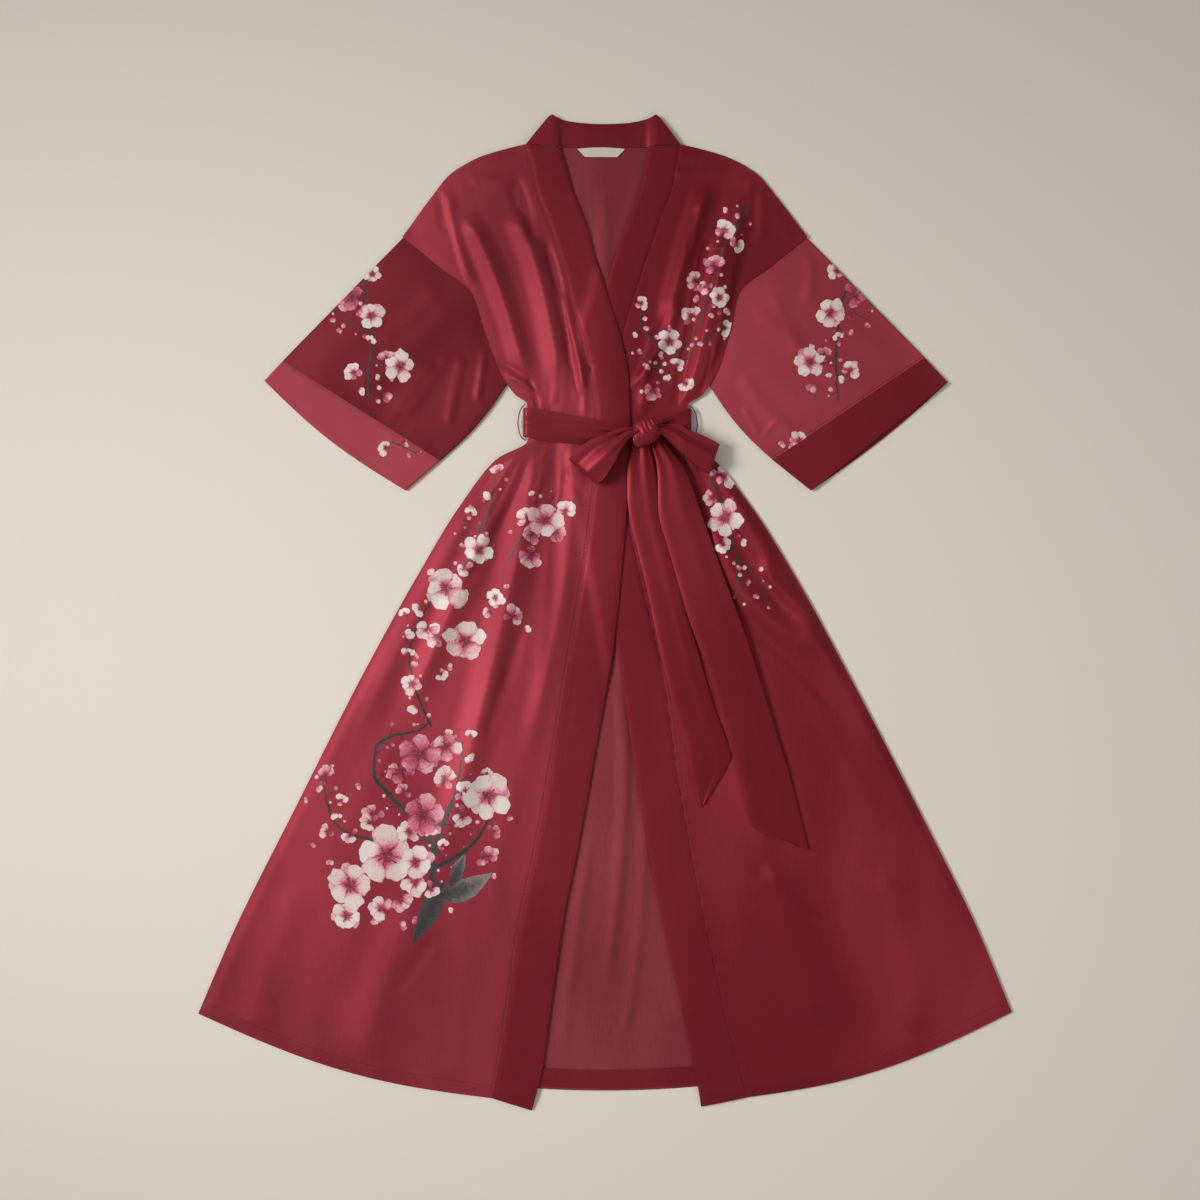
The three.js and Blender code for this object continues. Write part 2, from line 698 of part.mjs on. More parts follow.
// A flattened tube: an upper layer that slopes down to both edges, over a flat lower layer
function flatTube(rings, place, topZ, thickness) {
  const clearance = 0.5;
  const ring = (s, isInner) => {
    const width = place(s, 1, false).distanceTo(place(s, 0, false));
    const inset = isInner ? (thickness + clearance) / width : 0;
    const within = ringStations.map((c) => Math.min(1 - inset, Math.max(inset, c)));
    const least = thickness + clearance;
    const upper = within.map((c) => {
      const z = topZ(s, c, width);
      return upright(place(s, c, false), isInner ? Math.max(z - thickness, least) : z);
    });
    const lower = within.map((c) => upright(place(s, c, true), isInner ? thickness : 0));
    return [...upper, ...lower.reverse()];
  };
  return tubeSolid(rings.map((s) => ring(s, false)), rings.map((s) => ring(s, true)));
}

function evenSteps(count, from = 0) {
  return Array.from({ length: count + 1 }, (unused, i) => mix(from, 1, i / count));
}

function edgeSlope(c, width, lowerSlope) {
  const fromUpper = mix(edgeShare, 1, smooth((c * width) / upperSlope));
  const fromLower = mix(edgeShare, 1, Math.min(1, ((1 - c) * width) / lowerSlope));
  return Math.min(fromUpper, fromLower);
}

function sleeveTube(name, sleeve) {
  const start = rowCurves(armholeLine, 'at');
  const place = (s, c) => {
    const armhole = new THREE.Vector2(start[sleeve.armhole](c), start.y(c));
    const seam = sleeve.seam[0].clone().lerp(sleeve.seam[1], c);
    const bow = underarmBow * Math.sin(Math.PI * s) * c * c;
    return armhole.lerp(seam, s).add(new THREE.Vector2(sleeve.side, -1).setLength(bow));
  };
  const topZ = (s, c, width) => {
    const height = mix(armholeHeight, armHeight, smooth(s / swellShare));
    const point = place(s, c);
    const ends = smooth(s / swellShare) * smooth((1 - s) / swellShare);
    const folds = foldsHeight(sleeve.folds, point.x, point.y) * ends;
    return height * edgeSlope(c, width, mix(underarmSlope, cuffSlope, s)) + folds;
  };
  return named(name, flatTube(evenSteps(sleeveSteps), place, topZ, wall), satin);
}

function cuffTube(name, sleeve) {
  const length = sleeve.seam[0].distanceTo(sleeve.mouth[0]);
  const place = (s, c, isLower) => {
    const seam = sleeve.seam[0].clone().lerp(sleeve.seam[1], c);
    const mouth = sleeve.mouth[0].clone().lerp(sleeve.mouth[1], c);
    const onward = mouth.clone().sub(seam).setLength(isLower ? sleeve.mouthBow * Math.sin(Math.PI * c) : 0);
    return seam.lerp(mouth.add(onward), s);
  };
  const topZ = (s, c, width) => cuffHeight * edgeSlope(c, width, mix(cuffSlope, mouthSlope, s));
  return named(name, flatTube(evenSteps(cuffSteps, seamGap / length), place, topZ, cuffWall), bandSatin);
}

// The neck band lies flat behind the neck and turns over to the fronts at both ends
function neckBand() {
  const crown = 0.6;
  const under = neckBandRows.map((row) => [0, 0.5, 1].map((u) => new THREE.Vector3(
    mix(row.lowX, row.topX, u),
    mix(row.lowY, row.topY, u),
    row.lift + crown * Math.sin(Math.PI * u),
  )));
  return named('band_neck', laidSheet(under, bandWall), bandSatin);
}

function neckLabel() {
  const under = [];
  for (let i = 0; i <= label.steps; i += 1) {
    const across = mix(-1, 1, i / label.steps);
    const arched = label.arch * (1 - across ** 2);
    under.push([
      new THREE.Vector3(label.middleX + across * label.topHalf, label.topY - label.arch + arched, wall + layGap),
      new THREE.Vector3(label.middleX + across * label.lowHalf, label.lowY, wall + layGap),
    ]);
  }
  return named('label', laidSheet(under, labelWall), labelTape);
}

function sashBack() {
  const { fromX, toX, lowY, topY } = sashUnder;
  const under = [fromX, toX].map((x) => [lowY, topY].map((y) => new THREE.Vector3(x, y, 0)));
  return named('sash_back', laidSheet(under, sashWall), bandSatin);
}

// Rows of points across a strip, with a crown that lifts its middle
function stripRow(top, low, z, crown) {
  return [0, 0.25, 0.5, 0.75, 1].map((u) => new THREE.Vector3(
    mix(top.x, low.x, u),
    mix(top.y, low.y, u),
    z + crown * Math.sin(Math.PI * u),
  ));
}

function sashStretch(name, rows, side) {
  const crown = 0.8;
  const grid = rows.map((row, i) => {
    const flat = i < rows.length - 1 ? crown : 0;
    return stripRow({ x: row.topX, y: row.topY }, { x: row.lowX, y: row.lowY }, row.z, flat);
  });
  return named(name, turnedSheet(grid, side * sashWall), bandSatin);
}

function sashTail(name, rows) {
  const grid = rows.map((row) => (
    stripRow({ x: row.leftX, y: row.leftY }, { x: row.rightX, y: row.rightY }, row.z, row.crown)
  ));
  return named(name, laidSheet(grid, sashWall), bandSatin);
}

function bowLoop(name, rows, side) {
  const crown = 2;
  const turn = 2.5;
  const corners = rows.map((row) => ({
    top: new THREE.Vector2(row.topX, row.topY),
    low: new THREE.Vector2(row.lowX, row.lowY),
    under: row.under,
    over: row.over,
  }));
  const tip = corners.at(-1);
  const before = corners.at(-2);
  const onward = tip.top.clone().add(tip.low).sub(before.top).sub(before.low).setLength(turn);
  const grid = [
    ...corners.map(({ top, low, under }) => stripRow(top, low, under, 0)),
    stripRow(tip.top.clone().add(onward), tip.low.clone().add(onward), mix(tip.under, tip.over, 0.5), 0),
    ...[...corners].reverse().map(({ top, low, over }, i) => stripRow(top, low, over, i === 0 ? 0 : crown)),
  ];
  return named(name, turnedSheet(grid, side * sashWall), bandSatin);
}

function bowKnot() {
  const ring = (row, thickness) => Array.from({ length: knot.sides }, (unused, k) => {
    const angle = (2 * Math.PI * k) / knot.sides;
    return new THREE.Vector3(
      knot.x + row.at * knot.halfLength,
      knot.y + (row.halfY - thickness) * Math.cos(angle),
      knot.z + (row.halfZ - thickness) * Math.sin(angle),
    );
  });
  const outer = knotRows.map((row) => ring(row, 0));
  const inner = knotRows.map((row) => ring(row, sashWall));
  return named('sash_knot', tubeSolid(outer, inner), bandSatin);
}

function threadCarrier(name, points) {
  const path = new THREE.CatmullRomCurve3(points.map((point) => new THREE.Vector3(...point)));
  const section = new THREE.Shape(Array.from({ length: carrier.sides }, (unused, i) => {
    const angle = (2 * Math.PI * i) / carrier.sides;
    return new THREE.Vector2(carrier.radius * Math.cos(angle), carrier.radius * Math.sin(angle));
  }));
  const geometry = new THREE.ExtrudeGeometry(section, { steps: carrier.steps, extrudePath: path });
  return named(name, geometry, carrierThread);
}

const robe = new THREE.Group();
robe.add(
  backPanel(),
  backHemStrip(),
  frontPanel('front_right', rightFrontRows, rightBandAt, rightClothZ, 1),
  frontPanel('front_left', leftFrontRows, leftBandAt, leftClothZ, -1),
  frontBand('band_right', rightBandRows, rightClothZ),
  frontBand('band_left', leftBandRows, leftClothZ),
  neckBand(),
  neckLabel(),
  sleeveTube('sleeve_right', rightSleeve),
  sleeveTube('sleeve_left', leftSleeve),
  cuffTube('cuff_right', rightSleeve),
  cuffTube('cuff_left', leftSleeve),
  sashBack(),
  sashStretch('sash_front_right', rightSashRows, 1),
  sashStretch('sash_front_left', leftSashRows, -1),
  sashTail('tail_short', shortTailRows),
  sashTail('tail_long', longTailRows),
  bowLoop('bow_loop_right', rightLoopRows, 1),
  bowLoop('bow_loop_left', leftLoopRows, -1),
  bowKnot(),
  threadCarrier('carrier_right', carrierPoints.right),
  threadCarrier('carrier_left', carrierPoints.left),
);

export default robe;
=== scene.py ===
import math
import random

import bmesh
import bpy
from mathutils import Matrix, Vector, noise
from mathutils.bvhtree import BVHTree


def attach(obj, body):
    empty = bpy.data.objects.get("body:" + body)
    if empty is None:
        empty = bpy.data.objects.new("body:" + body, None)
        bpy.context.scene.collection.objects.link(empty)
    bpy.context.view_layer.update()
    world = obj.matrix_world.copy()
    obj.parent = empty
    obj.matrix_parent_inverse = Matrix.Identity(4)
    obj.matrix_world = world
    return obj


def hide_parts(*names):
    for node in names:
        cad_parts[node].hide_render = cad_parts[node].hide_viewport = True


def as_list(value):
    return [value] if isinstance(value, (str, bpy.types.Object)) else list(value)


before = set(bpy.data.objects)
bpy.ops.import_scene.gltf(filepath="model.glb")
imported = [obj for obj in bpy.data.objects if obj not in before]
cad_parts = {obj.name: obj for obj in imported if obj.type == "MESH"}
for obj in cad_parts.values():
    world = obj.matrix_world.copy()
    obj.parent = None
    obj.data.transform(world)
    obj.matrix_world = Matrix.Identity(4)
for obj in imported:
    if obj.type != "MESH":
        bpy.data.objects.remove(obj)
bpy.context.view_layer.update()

# A satin kimono robe laid flat, front up, with its sash tied. Tables are in millimetres in the
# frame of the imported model; left and right are the wearer's, so the right front has low X.
mm = 0.001
seamGap = 0.3
walls = dict(panel=1.2, band=1.8, sash=1.4, cuff=1.4, label=1.0)
levels = dict(front=3.8, edge=1.6, roll=14, lowest=-2.2, crossLift=2.8, crossWidth=18, crossLead=26,
              beltMiddle=248, beltHalf=24, beltFold=2.2, beltRelease=0.35,
              sashRise=1.8, sashHalf=26, sashRamp=26)


# Small maths that all the cloths share. On a cloth, u and v run from 0 to 1 across and along it.

def smooth(value):
    t = min(1.0, max(0.0, value))
    return t * t * (3 - 2 * t)


def mix(start, end, share):
    return start + (end - start) * share


def dome(share):  # up from 0 and down again
    return math.sin(math.pi * share)


def fade(distance, reach):  # 1 at no distance, and close to 0 at twice the reach
    return math.exp(-(distance / reach) ** 2)


def wander(x, y, z):  # slow smooth noise, from about -1 to 1
    return noise.noise(Vector((x, y, z)))


def curveThrough(places, values):  # a monotone cubic, so an outline has no waves between its rows
    last = len(places) - 1
    slopes = [(values[i + 1] - values[i]) / (places[i + 1] - places[i]) for i in range(last)]
    tangents = [slopes[0]]
    for before, after in zip(slopes, slopes[1:]):
        tangents.append(0 if before * after <= 0 else 2 * before * after / (before + after))
    tangents.append(slopes[-1])

    def read(at):
        i = 0
        while i < last - 1 and at > places[i + 1]:
            i += 1
        width = places[i + 1] - places[i]
        t = min(1.0, max(0.0, (at - places[i]) / width))
        rise = values[i + 1] - values[i]
        start, end = tangents[i] * width, tangents[i + 1] * width
        return values[i] + t * (start + t * (3 * rise - 2 * start - end + t * (start + end - 2 * rise)))
    return read


def columnCurves(columns, rows, against=None):  # a curve a column, by row number or another column
    names = columns.split()
    key = names.index(against) if against else None
    ordered = sorted(rows, key=lambda row: row[key]) if against else rows
    places = [row[key] for row in ordered] if against else list(range(len(rows)))
    return {name: curveThrough(places, [row[i] for row in ordered])
            for i, name in enumerate(names) if i != key}


def evenStations(measure, last, count):  # row numbers whose measured places are evenly spaced
    fine = 400
    marks = [measure(last * i / fine) for i in range(fine + 1)]
    total = [0.0]
    for before, after in zip(marks, marks[1:]):
        total.append(total[-1] + (after - before).length)
    stations, i = [], 0
    for step in range(count + 1):
        goal = total[-1] * step / count
        while i < fine - 1 and total[i + 1] < goal:
            i += 1
        share = (goal - total[i]) / max(1e-9, total[i + 1] - total[i])
        stations.append(last * (i + min(1, max(0, share))) / fine)
    return stations


def between(at, edges, row, u):  # x and y at share u from one edge of a strip to the other
    return [mix(at[edges[0] + axis](row), at[edges[1] + axis](row), u) for axis in "XY"]


def stripAlong(columns, edges, rows, down, rising=True):
    # a strip's column curves, its even stations and the length of its middle line
    at = columnCurves(columns, rows)

    def centre(row):
        return Vector((*between(at, edges, row, 0.5), at["z"](row) if rising else 0))
    stations = evenStations(centre, len(rows) - 1, down)
    return at, stations, sum((centre(b) - centre(a)).length for a, b in zip(stations, stations[1:]))


# Creases are rows of a crest's top, middle and foot, its height and the reach of its two flanks.
# A trough has a negative height.

creaseShape = dict(parts=12, crisp=0.78, taper=0.16)  # crisp is below 1, so that the crest is sharp


def crestLines(rows):
    crests = []
    for topX, topY, midX, midY, footX, footY, height, west, east in rows:
        top, middle, foot = Vector((topX, topY)), Vector((midX, midY)), Vector((footX, footY))
        control = middle * 2 - (top + foot) * 0.5
        points = []
        for i in range(creaseShape["parts"] + 1):
            t = i / creaseShape["parts"]
            points.append(top * (1 - t) ** 2 + control * (2 * t * (1 - t)) + foot * t ** 2)
        reach = max(west, east)
        xs, ys = [p.x for p in points], [p.y for p in points]
        parts = [(a.x, a.y, b.x - a.x, b.y - a.y, (b - a).length_squared)
                 for a, b in zip(points, points[1:])]
        crests.append((min(xs) - reach, max(xs) + reach, min(ys) - reach, max(ys) + reach,
                       parts, height, west, east))
    return crests


def creaseHeight(crests, x, y):
    total = 0.0
    for lowX, highX, lowY, highY, parts, height, west, east in crests:
        if x < lowX or x > highX or y < lowY or y > highY:
            continue
        nearest, share, side = math.inf, 0.0, 1.0
        for i, (ax, ay, bx, by, square) in enumerate(parts):
            px, py = x - ax, y - ay
            t = min(1.0, max(0.0, (px * bx + py * by) / square))
            dx, dy = px - t * bx, py - t * by
            far = dx * dx + dy * dy
            if far < nearest:
                nearest, share, side = far, (i + t) / creaseShape["parts"], bx * py - by * px
        reach = east if side > 0 else west
        flank = (math.sqrt(nearest) / reach) ** creaseShape["crisp"]
        if flank < 1:
            ends = smooth(share / creaseShape["taper"]) * smooth((1 - share) / creaseShape["taper"])
            total += height * ends * 0.5 * (1 + math.cos(math.pi * flank))
    return total


def swell(x, y, seed, acrossSize, alongSize, height):  # the slow rise and fall of laid satin
    return height * wander(x / acrossSize, y / alongSize, seed)


def nearBelt(total, y):  # under the sash the cloth is pressed flat
    free = max(0.0, abs(y - levels["beltMiddle"]) - levels["beltHalf"])
    return max(levels["lowest"], min(total, levels["beltFold"] + free * levels["beltRelease"]))


gather = dict(place=(0.15, 0.85), size=(0.55, 1.25), bend=(-3, 3), tall=(0.5, 1.2), hollowEach=3,
              hollow=-0.8, width=(4.5, 8), eastWider=1.2)


def gathers(seed, rows):  # folds out of a pressed line: from, to, how many, length, lean and height
    draw = random.Random(seed)
    made = []
    for fromX, fromY, toX, toY, count, lengthX, lengthY, lean, height in rows:
        for i in range(count):
            share = (i + draw.uniform(*gather["place"])) / count
            x, y = mix(fromX, toX, share), mix(fromY, toY, share)
            size = draw.uniform(*gather["size"])
            endX = x + lengthX * size + lean * (share - 0.5)
            endY = y + lengthY * size
            bend = draw.uniform(*gather["bend"])
            tall = height * draw.uniform(*gather["tall"])
            tall *= 1 if i % gather["hollowEach"] else gather["hollow"]
            width = draw.uniform(*gather["width"])
            made.append((x, y, (x + endX) / 2 + bend, (y + endY) / 2, endX, endY, tall,
                         width, width * gather["eastWider"]))
    return made


# Tables of the cut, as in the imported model. Its largest folds are the first rows of the creases.

frontColumns = "outerX outerY seamY shoulderBow hemBow edge"
rightFrontRows = [
    (-263, 489, 609, 1, 0, 3.8), (-217, 451, 573, 0.45, 0, 3.8), (-173, 415, 530, 0.2, 0, 3.8),
    (-156, 365, 469, 0.05, 0, 3.8), (-136, 313, 391, 0, 0, 3.8), (-117, 284, 318, 0, 0, 3.8),
    (-101, 270, 274, 0, 0, 3.8), (-100, 226, 222, 0, 0, 3.8), (-142, 199, 176, 0, 0, 3),
    (-191, 136, 105, 0, 0, 1.6), (-247, 43, -3, 0, 0, 1.6), (-316, -82, -148, 0, 3, 1.6),
    (-400, -248, -329, 0, 8, 1.6), (-481, -410, -503, 0, 15, 1.6), (-529, -521, -631, 0, 20, 1.6)]
leftFrontRows = [
    (263, 489, 609, 1, 0, 3.8), (217, 452, 573, 0.45, 0, 3.8), (173, 415, 530, 0.2, 0, 3.8),
    (162, 365, 465, 0.05, 0, 3.8), (145, 313, 391, 0, 0, 3.8), (127, 284, 318, 0, 0, 3.8),
    (107, 268, 274, 0, 0, 3.8), (107, 228, 222, 0, 0, 3.8), (142, 199, 176, 0, 0, 3),
    (192, 136, 105, 0, 0, 1.6), (250, 43, -3, 0, 0, 1.6), (318, -82, -148, 0, 3, 1.6),
    (404, -248, -329, 0, 8, 1.6), (484, -410, -503, 0, 15, 1.6), (529, -519, -630, 0, 20, 1.6)]
shoulderShape = [(0, 0), (0.12, 7.7), (0.31, 19), (0.51, 28), (0.66, 25), (0.9, 9.3), (1, 0)]
bandColumns = "y seamX openX drop"
rightBandRows = [
    (609, -104, -60, 3), (582, -95, -52, 0), (550, -88, -43, 0), (511, -73, -27, 0), (459, -56, -12, 0),
    (407, -42, 5, 0), (355, -26, 21, 0), (308, -16, 30, 0), (264, -10, 32, 0), (214, -9, 33, 0),
    (152, -14, 29, 0), (53, -27, 21, 0), (-35, -42, 12, 0), (-113, -55, -1, 0), (-203, -70, -17, 0),
    (-312, -90, -37, 0), (-396, -108, -54, 0), (-521, -127, -72, 0), (-595, -139, -83, 5),
    (-631, -147, -95, 16)]
leftBandRows = [
    (609, 98, 57, 3), (582, 92, 53, 0), (550, 86, 46, 0), (511, 71, 31, 0), (459, 53, 12, 0),
    (407, 36, -5, 0), (355, 20, -21, 0), (308, 8, -38, 0), (264, 1, -47, 0), (214, 8, -40, 0),
    (152, 22, -26, 0), (82, 38, -10, 0), (13, 53, 4, 0), (-82, 75, 21, 0), (-225, 96, 42, 0),
    (-367, 122, 67, 0), (-448, 139, 85, 0), (-547, 161, 107, 0), (-608, 178, 120, 4), (-630, 184, 125, 12)]
backColumns = "leftX leftY rightX rightY neck hem"
backRows = [
    (-255, 496, 255, 496, 1, 0), (-210, 460, 210, 460, 0.62, 0), (-165, 424, 165, 424, 0.34, 0),
    (-147, 368, 152, 368, 0.14, 0), (-127, 316, 135, 316, 0.04, 0), (-113, 286, 122, 286, 0, 0),
    (-100, 272, 106, 272, 0, 0), (-99, 224, 106, 224, 0, 0), (-141, 198, 141, 198, 0, 0),
    (-190, 136, 191, 136, 0, 0.02), (-246, 43, 249, 43, 0, 0.08), (-315, -82, 317, -82, 0, 0.2),
    (-399, -248, 403, -248, 0, 0.4), (-480, -410, 483, -410, 0, 0.7), (-528, -519, 528, -518, 0, 1)]
neckShape = [(0, 0), (0.05, 0.34), (0.11, 0.665), (0.17, 0.84), (0.26, 0.955), (0.31, 0.985),
             (0.69, 0.985), (0.74, 0.955), (0.83, 0.84), (0.89, 0.665), (0.95, 0.34), (1, 0)]
backSizes = dict(neckRise=111, hemArc=103)

rightCreases = crestLines([
    (-120, 524, -83, 430, -54, 276, 9, 26, 24), (-186, 520, -140, 430, -98, 286, 8, 22, 23),
    (-62, 428, -40, 350, -24, 276, 5, 12, 11), (-35, 341, -30, 303, -25, 250, 3, 10, 10),
    (-88, 240, -126, 10, -228, -373, 10, 36, 32), (-96, 240, -162, 88, -260, -139, 8, 28, 27),
    (-98, 236, -186, 108, -338, -191, 3.6, 28, 30), (-51, 236, -48, 69, -110, -217, 4.4, 24, 24),
    (-247, -373, -286, -484, -318, -589, 4.2, 55, 42), (-396, -347, -436, -464, -462, -552, 3.6, 45, 45),
    (-173, -347, -186, -503, -195, -618, 3, 40, 40),
    # finer ones above the sash
    (-78, 486, -56, 404, -40, 300, -4.5, 12, 9), (-120, 566, -104, 524, -92, 476, -4.5, 20, 14),
    (-217, 556, -212, 521, -211, 495, -1.8, 8, 6), (-208, 556, -195, 488, -172, 414, 4.2, 3, 16),
    (-178, 562, -146, 561, -110, 556, 1.8, 12, 11), (-132, 308, -112, 301, -88, 284, 3.4, 8, 7),
    (-142, 324, -118, 317, -92, 297, -2.4, 8, 7), (-100, 310, -92, 286, -86, 262, -2.4, 7, 6),
    (-66, 330, -64, 300, -68, 268, 1.8, 9, 9), (-20, 326, -25, 298, -32, 268, -1.3, 9, 9),
    # and below it
    (-95, 211, -133, 121, -199, 9, -2.6, 11, 14), (-100, 214, -122, 178, -152, 113, -2.2, 8, 9),
    (-106, -9, -130, -87, -158, -172, -2.4, 16, 14), (-53, 188, -40, 165, -22, 151, -1.6, 8, 8),
    (-225, -422, -248, -459, -276, -499, -1.4, 20, 16), (-84, 186, -74, 69, -90, -87, 1.4, 18, 16),
    (-58, 147, -51, -9, -74, -191, 1.2, 22, 18), (-199, 6, -266, -152, -358, -321, 1.2, 34, 36),
    (-130, -35, -165, -191, -185, -321, 1.2, 24, 20), (-110, -191, -136, -321, -155, -451, 1.2, 26, 22),
    (-273, -269, -318, -399, -358, -490, 1.0, 30, 30), (-78, 216, -84, 173, -98, 121, 1.6, 6, 7),
    (-117, 209, -136, 173, -162, 140, 1.5, 6, 6), (-64, 217, -58, 178, -64, 134, 1.2, 6, 6),
    *gathers(3, [(-96, 272, -34, 276, 3, 3, 26, -20, 0.9), (-96, 222, -34, 218, 5, -6, -44, 34, 1.4)]),
])
leftCreases = crestLines([
    (134, 556, 107, 474, 78, 368, 9, 22, 19), (160, 498, 136, 394, 104, 262, 8, 16, 22),
    (178, 556, 160, 420, 126, 287, 7, 28, 12), (74, 361, 54, 313, 52, 258, 4, 14, 18),
    (140, 130, 190, 16, 290, -50, 9, 28, 32), (118, 226, 182, 121, 318, -113, 5, 22, 28),
    (212, -322, 244, -420, 290, -540, 5, 40, 48), (358, -321, 390, -438, 416, -555, 5, 42, 42),
    # finer ones above the sash
    (118, 528, 113, 495, 105, 462, -1.8, 8, 6), (136, 492, 117, 396, 90, 261, -5.5, 10, 9),
    (97, 410, 74, 352, 31, 287, 5, 12, 13), (190, 568, 185, 508, 170, 420, 2, 10, 4),
    (207, 555, 204, 516, 202, 480, 1.6, 8, 8), (87, 568, 124, 571, 160, 567, 1.4, 9, 9),
    (58, 368, 56, 329, 46, 287, 1.4, 9, 8), (139, 348, 131, 306, 114, 266, -2, 6, 6),
    (150, 355, 144, 311, 122, 266, 2, 6, 6), (161, 550, 152, 472, 139, 386, 1.4, 12, 12),
    # and below it
    (179, 5, 222, -43, 309, -136, -2, 16, 14), (179, -294, 207, -342, 233, -386, -1.4, 18, 18),
    (221, -347, 261, -373, 306, -399, -1.2, 16, 16), (131, 186, 176, 95, 240, 17, 1.8, 12, 12),
    (110, 186, 139, 69, 182, -35, -1.8, 12, 12), (214, -9, 292, -152, 370, -308, 1.6, 26, 26),
    (150, -113, 186, -230, 221, -347, 1.4, 20, 20), (292, -35, 358, -165, 422, -308, 1.2, 26, 22),
    (82, 121, 87, 17, 92, -100, 1.2, 8, 8), (144, 209, 170, 165, 202, 121, 1.4, 6, 6),
    (131, 209, 144, 173, 160, 131, -1.4, 5, 5), (254, -191, 318, -321, 384, -451, -1, 26, 26),
    *gathers(4, [(60, 276, 106, 272, 5, -3, 28, 26, 1.2), (72, 218, 106, 222, 5, 10, -40, 26, 1.5)]),
    (210, 80, 236, 20, 330, -22, 3.2, 16, 14),
])
backCreases = crestLines([
    (9, 17, 25, -217, -1, -516, 3.4, 16, 10), (-17, -282, -40, -438, -56, -581, 2.6, 12, 13),
    (-1, 560, 1, 470, 3, 407, 2.2, 18, 18),
    (5, -74, 29, -243, 1, -478, 1.6, 9, 8), (52, -240, 46, -412, 20, -578, 2.6, 14, 9),
    (-29, -436, -43, -471, -64, -500, 1.0, 12, 10), (-9, 511, -6, 464, -5, 417, 1, 14, 14),
    (-38, 576, -27, 511, -12, 448, 0.8, 12, 10), (46, 578, 30, 519, 9, 456, 0.8, 10, 12),
])

rightBandAt = columnCurves(bandColumns, rightBandRows, "y")
leftBandAt = columnCurves(bandColumns, leftBandRows, "y")
rightSwells = [(3.1, 90, 260, 1.3), (8.6, 40, 130, 0.25)]  # seed, size across and along, height
leftSwells = [(5.7, 110, 320, 1.2), (1.6, 44, 140, 0.22)]
backFolds = dict(fromX=-140, toX=160, highest=3.4)


def rightClothZ(x, y):  # underside of the right front and its band
    crossing = smooth((x - leftBandAt["openX"](y) + levels["crossLead"]) / levels["crossWidth"])
    total = creaseHeight(rightCreases, x, y) + sum(swell(x, y, *row) for row in rightSwells)
    return levels["front"] + levels["crossLift"] * crossing + nearBelt(total, y)


def leftClothZ(x, y):  # underside of the left front and its band
    total = creaseHeight(leftCreases, x, y) + sum(swell(x, y, *row) for row in leftSwells)
    return levels["front"] + nearBelt(total, y)


def backClothZ(x, y):
    over = 1 - smooth((abs(y - levels["beltMiddle"]) - levels["sashHalf"]) / levels["sashRamp"])
    shows = backFolds["fromX"] < x < backFolds["toX"]
    lift = creaseHeight(backCreases, x, y) if shows else 0
    return levels["sashRise"] * over + min(lift, backFolds["highest"])


# Making a mesh, and a cloth from a grid

cloths, surfaces = {}, {}  # each cloth's object and the outer face that print is laid on
meshing = dict(mergeDistance=0.00002, sharpAngle=50)


def newObject(name, bm, materials, smoothShade=True):
    mesh = bpy.data.meshes.new(name)
    bm.to_mesh(mesh)
    bm.free()
    for material in materials:
        mesh.materials.append(material)
    for polygon in mesh.polygons:
        polygon.use_smooth = smoothShade
    made = bpy.data.objects.new(name, mesh)
    bpy.context.scene.collection.objects.link(made)
    return made


def applyModifiers(piece):
    graph = bpy.context.evaluated_depsgraph_get()
    finished = bpy.data.meshes.new_from_object(piece.evaluated_get(graph))
    piece.modifiers.clear()
    piece.data = finished
    finished.set_sharp_from_angle(angle=math.radians(meshing["sharpAngle"]))


def planWeave(u, v, point):
    return point[0], point[1]


def stripWeave(width, length):
    return lambda u, v, point: (u * width, v * length)


def clothGrid(name, across, down, place, weave, material, wall, tube=False, closed=False):
    # place(u, v) is a point of the cloth's outer face, and weave(u, v, point) its spot when flat
    bm = bmesh.new()
    bmesh.ops.create_grid(bm, x_segments=across, y_segments=down, size=0.5)
    uvLayer = bm.loops.layers.uv.new("weave")
    flat = {}
    for vert in bm.verts:
        u, v = vert.co.x + 0.5, 0.5 - vert.co.y
        point = place(u, v)
        flat[vert.index] = weave(u, v, point)
        vert.co = Vector(point) * mm
    for face in bm.faces:
        for loop in face.loops:
            loop[uvLayer].uv = Vector(flat[loop.vert.index]) * mm
    if tube:
        bmesh.ops.remove_doubles(bm, verts=bm.verts, dist=meshing["mergeDistance"])
    bm.normal_update()
    if closed:
        bmesh.ops.recalc_face_normals(bm, faces=bm.faces)
    elif sum(face.normal.z * face.calc_area() for face in bm.faces) < 0:
        bmesh.ops.reverse_faces(bm, faces=bm.faces)
    area = sum(face.calc_area() for face in bm.faces)
    surfaces[name] = BVHTree.FromBMesh(bm)
    piece = newObject(name, bm, [material])
    solid = piece.modifiers.new("wall", "SOLIDIFY")
    solid.thickness = wall * mm
    solid.offset = -1
    solid.use_rim = True
    applyModifiers(piece)
    cloths[name] = piece
    print(f"{name}: {len(piece.data.polygons)} faces, {area:.4f} m2")


# Satin in lit and shaded copies for the robe's pieces: painted sheen and shade per piece, with their
# finishes

def linear(hexColour):
    parts = [int(hexColour[i:i + 2], 16) / 255 for i in (1, 3, 5)]
    # from the sRGB numbers to the light that they stand for
    return (*[c / 12.92 if c <= 0.04045 else ((c + 0.055) / 1.055) ** 2.4 for c in parts], 1)


def addNode(tree, kind, settings=None, inputs=None):
    made = tree.nodes.new(kind)
    for key, value in (settings or {}).items():
        setattr(made, key, value)
    for key, value in (inputs or {}).items():
        if isinstance(value, bpy.types.NodeSocket):
            tree.links.new(value, made.inputs[key])
        else:
            made.inputs[key].default_value = value
    return made


waveTurn = math.tau / 20  # a wave texture of scale 1 repeats in this length, a diagonal one in twice it


def newMaterial(name):
    material = bpy.data.materials.new(name)
    material.use_nodes = True
    material.node_tree.nodes.clear()
    return material, material.node_tree


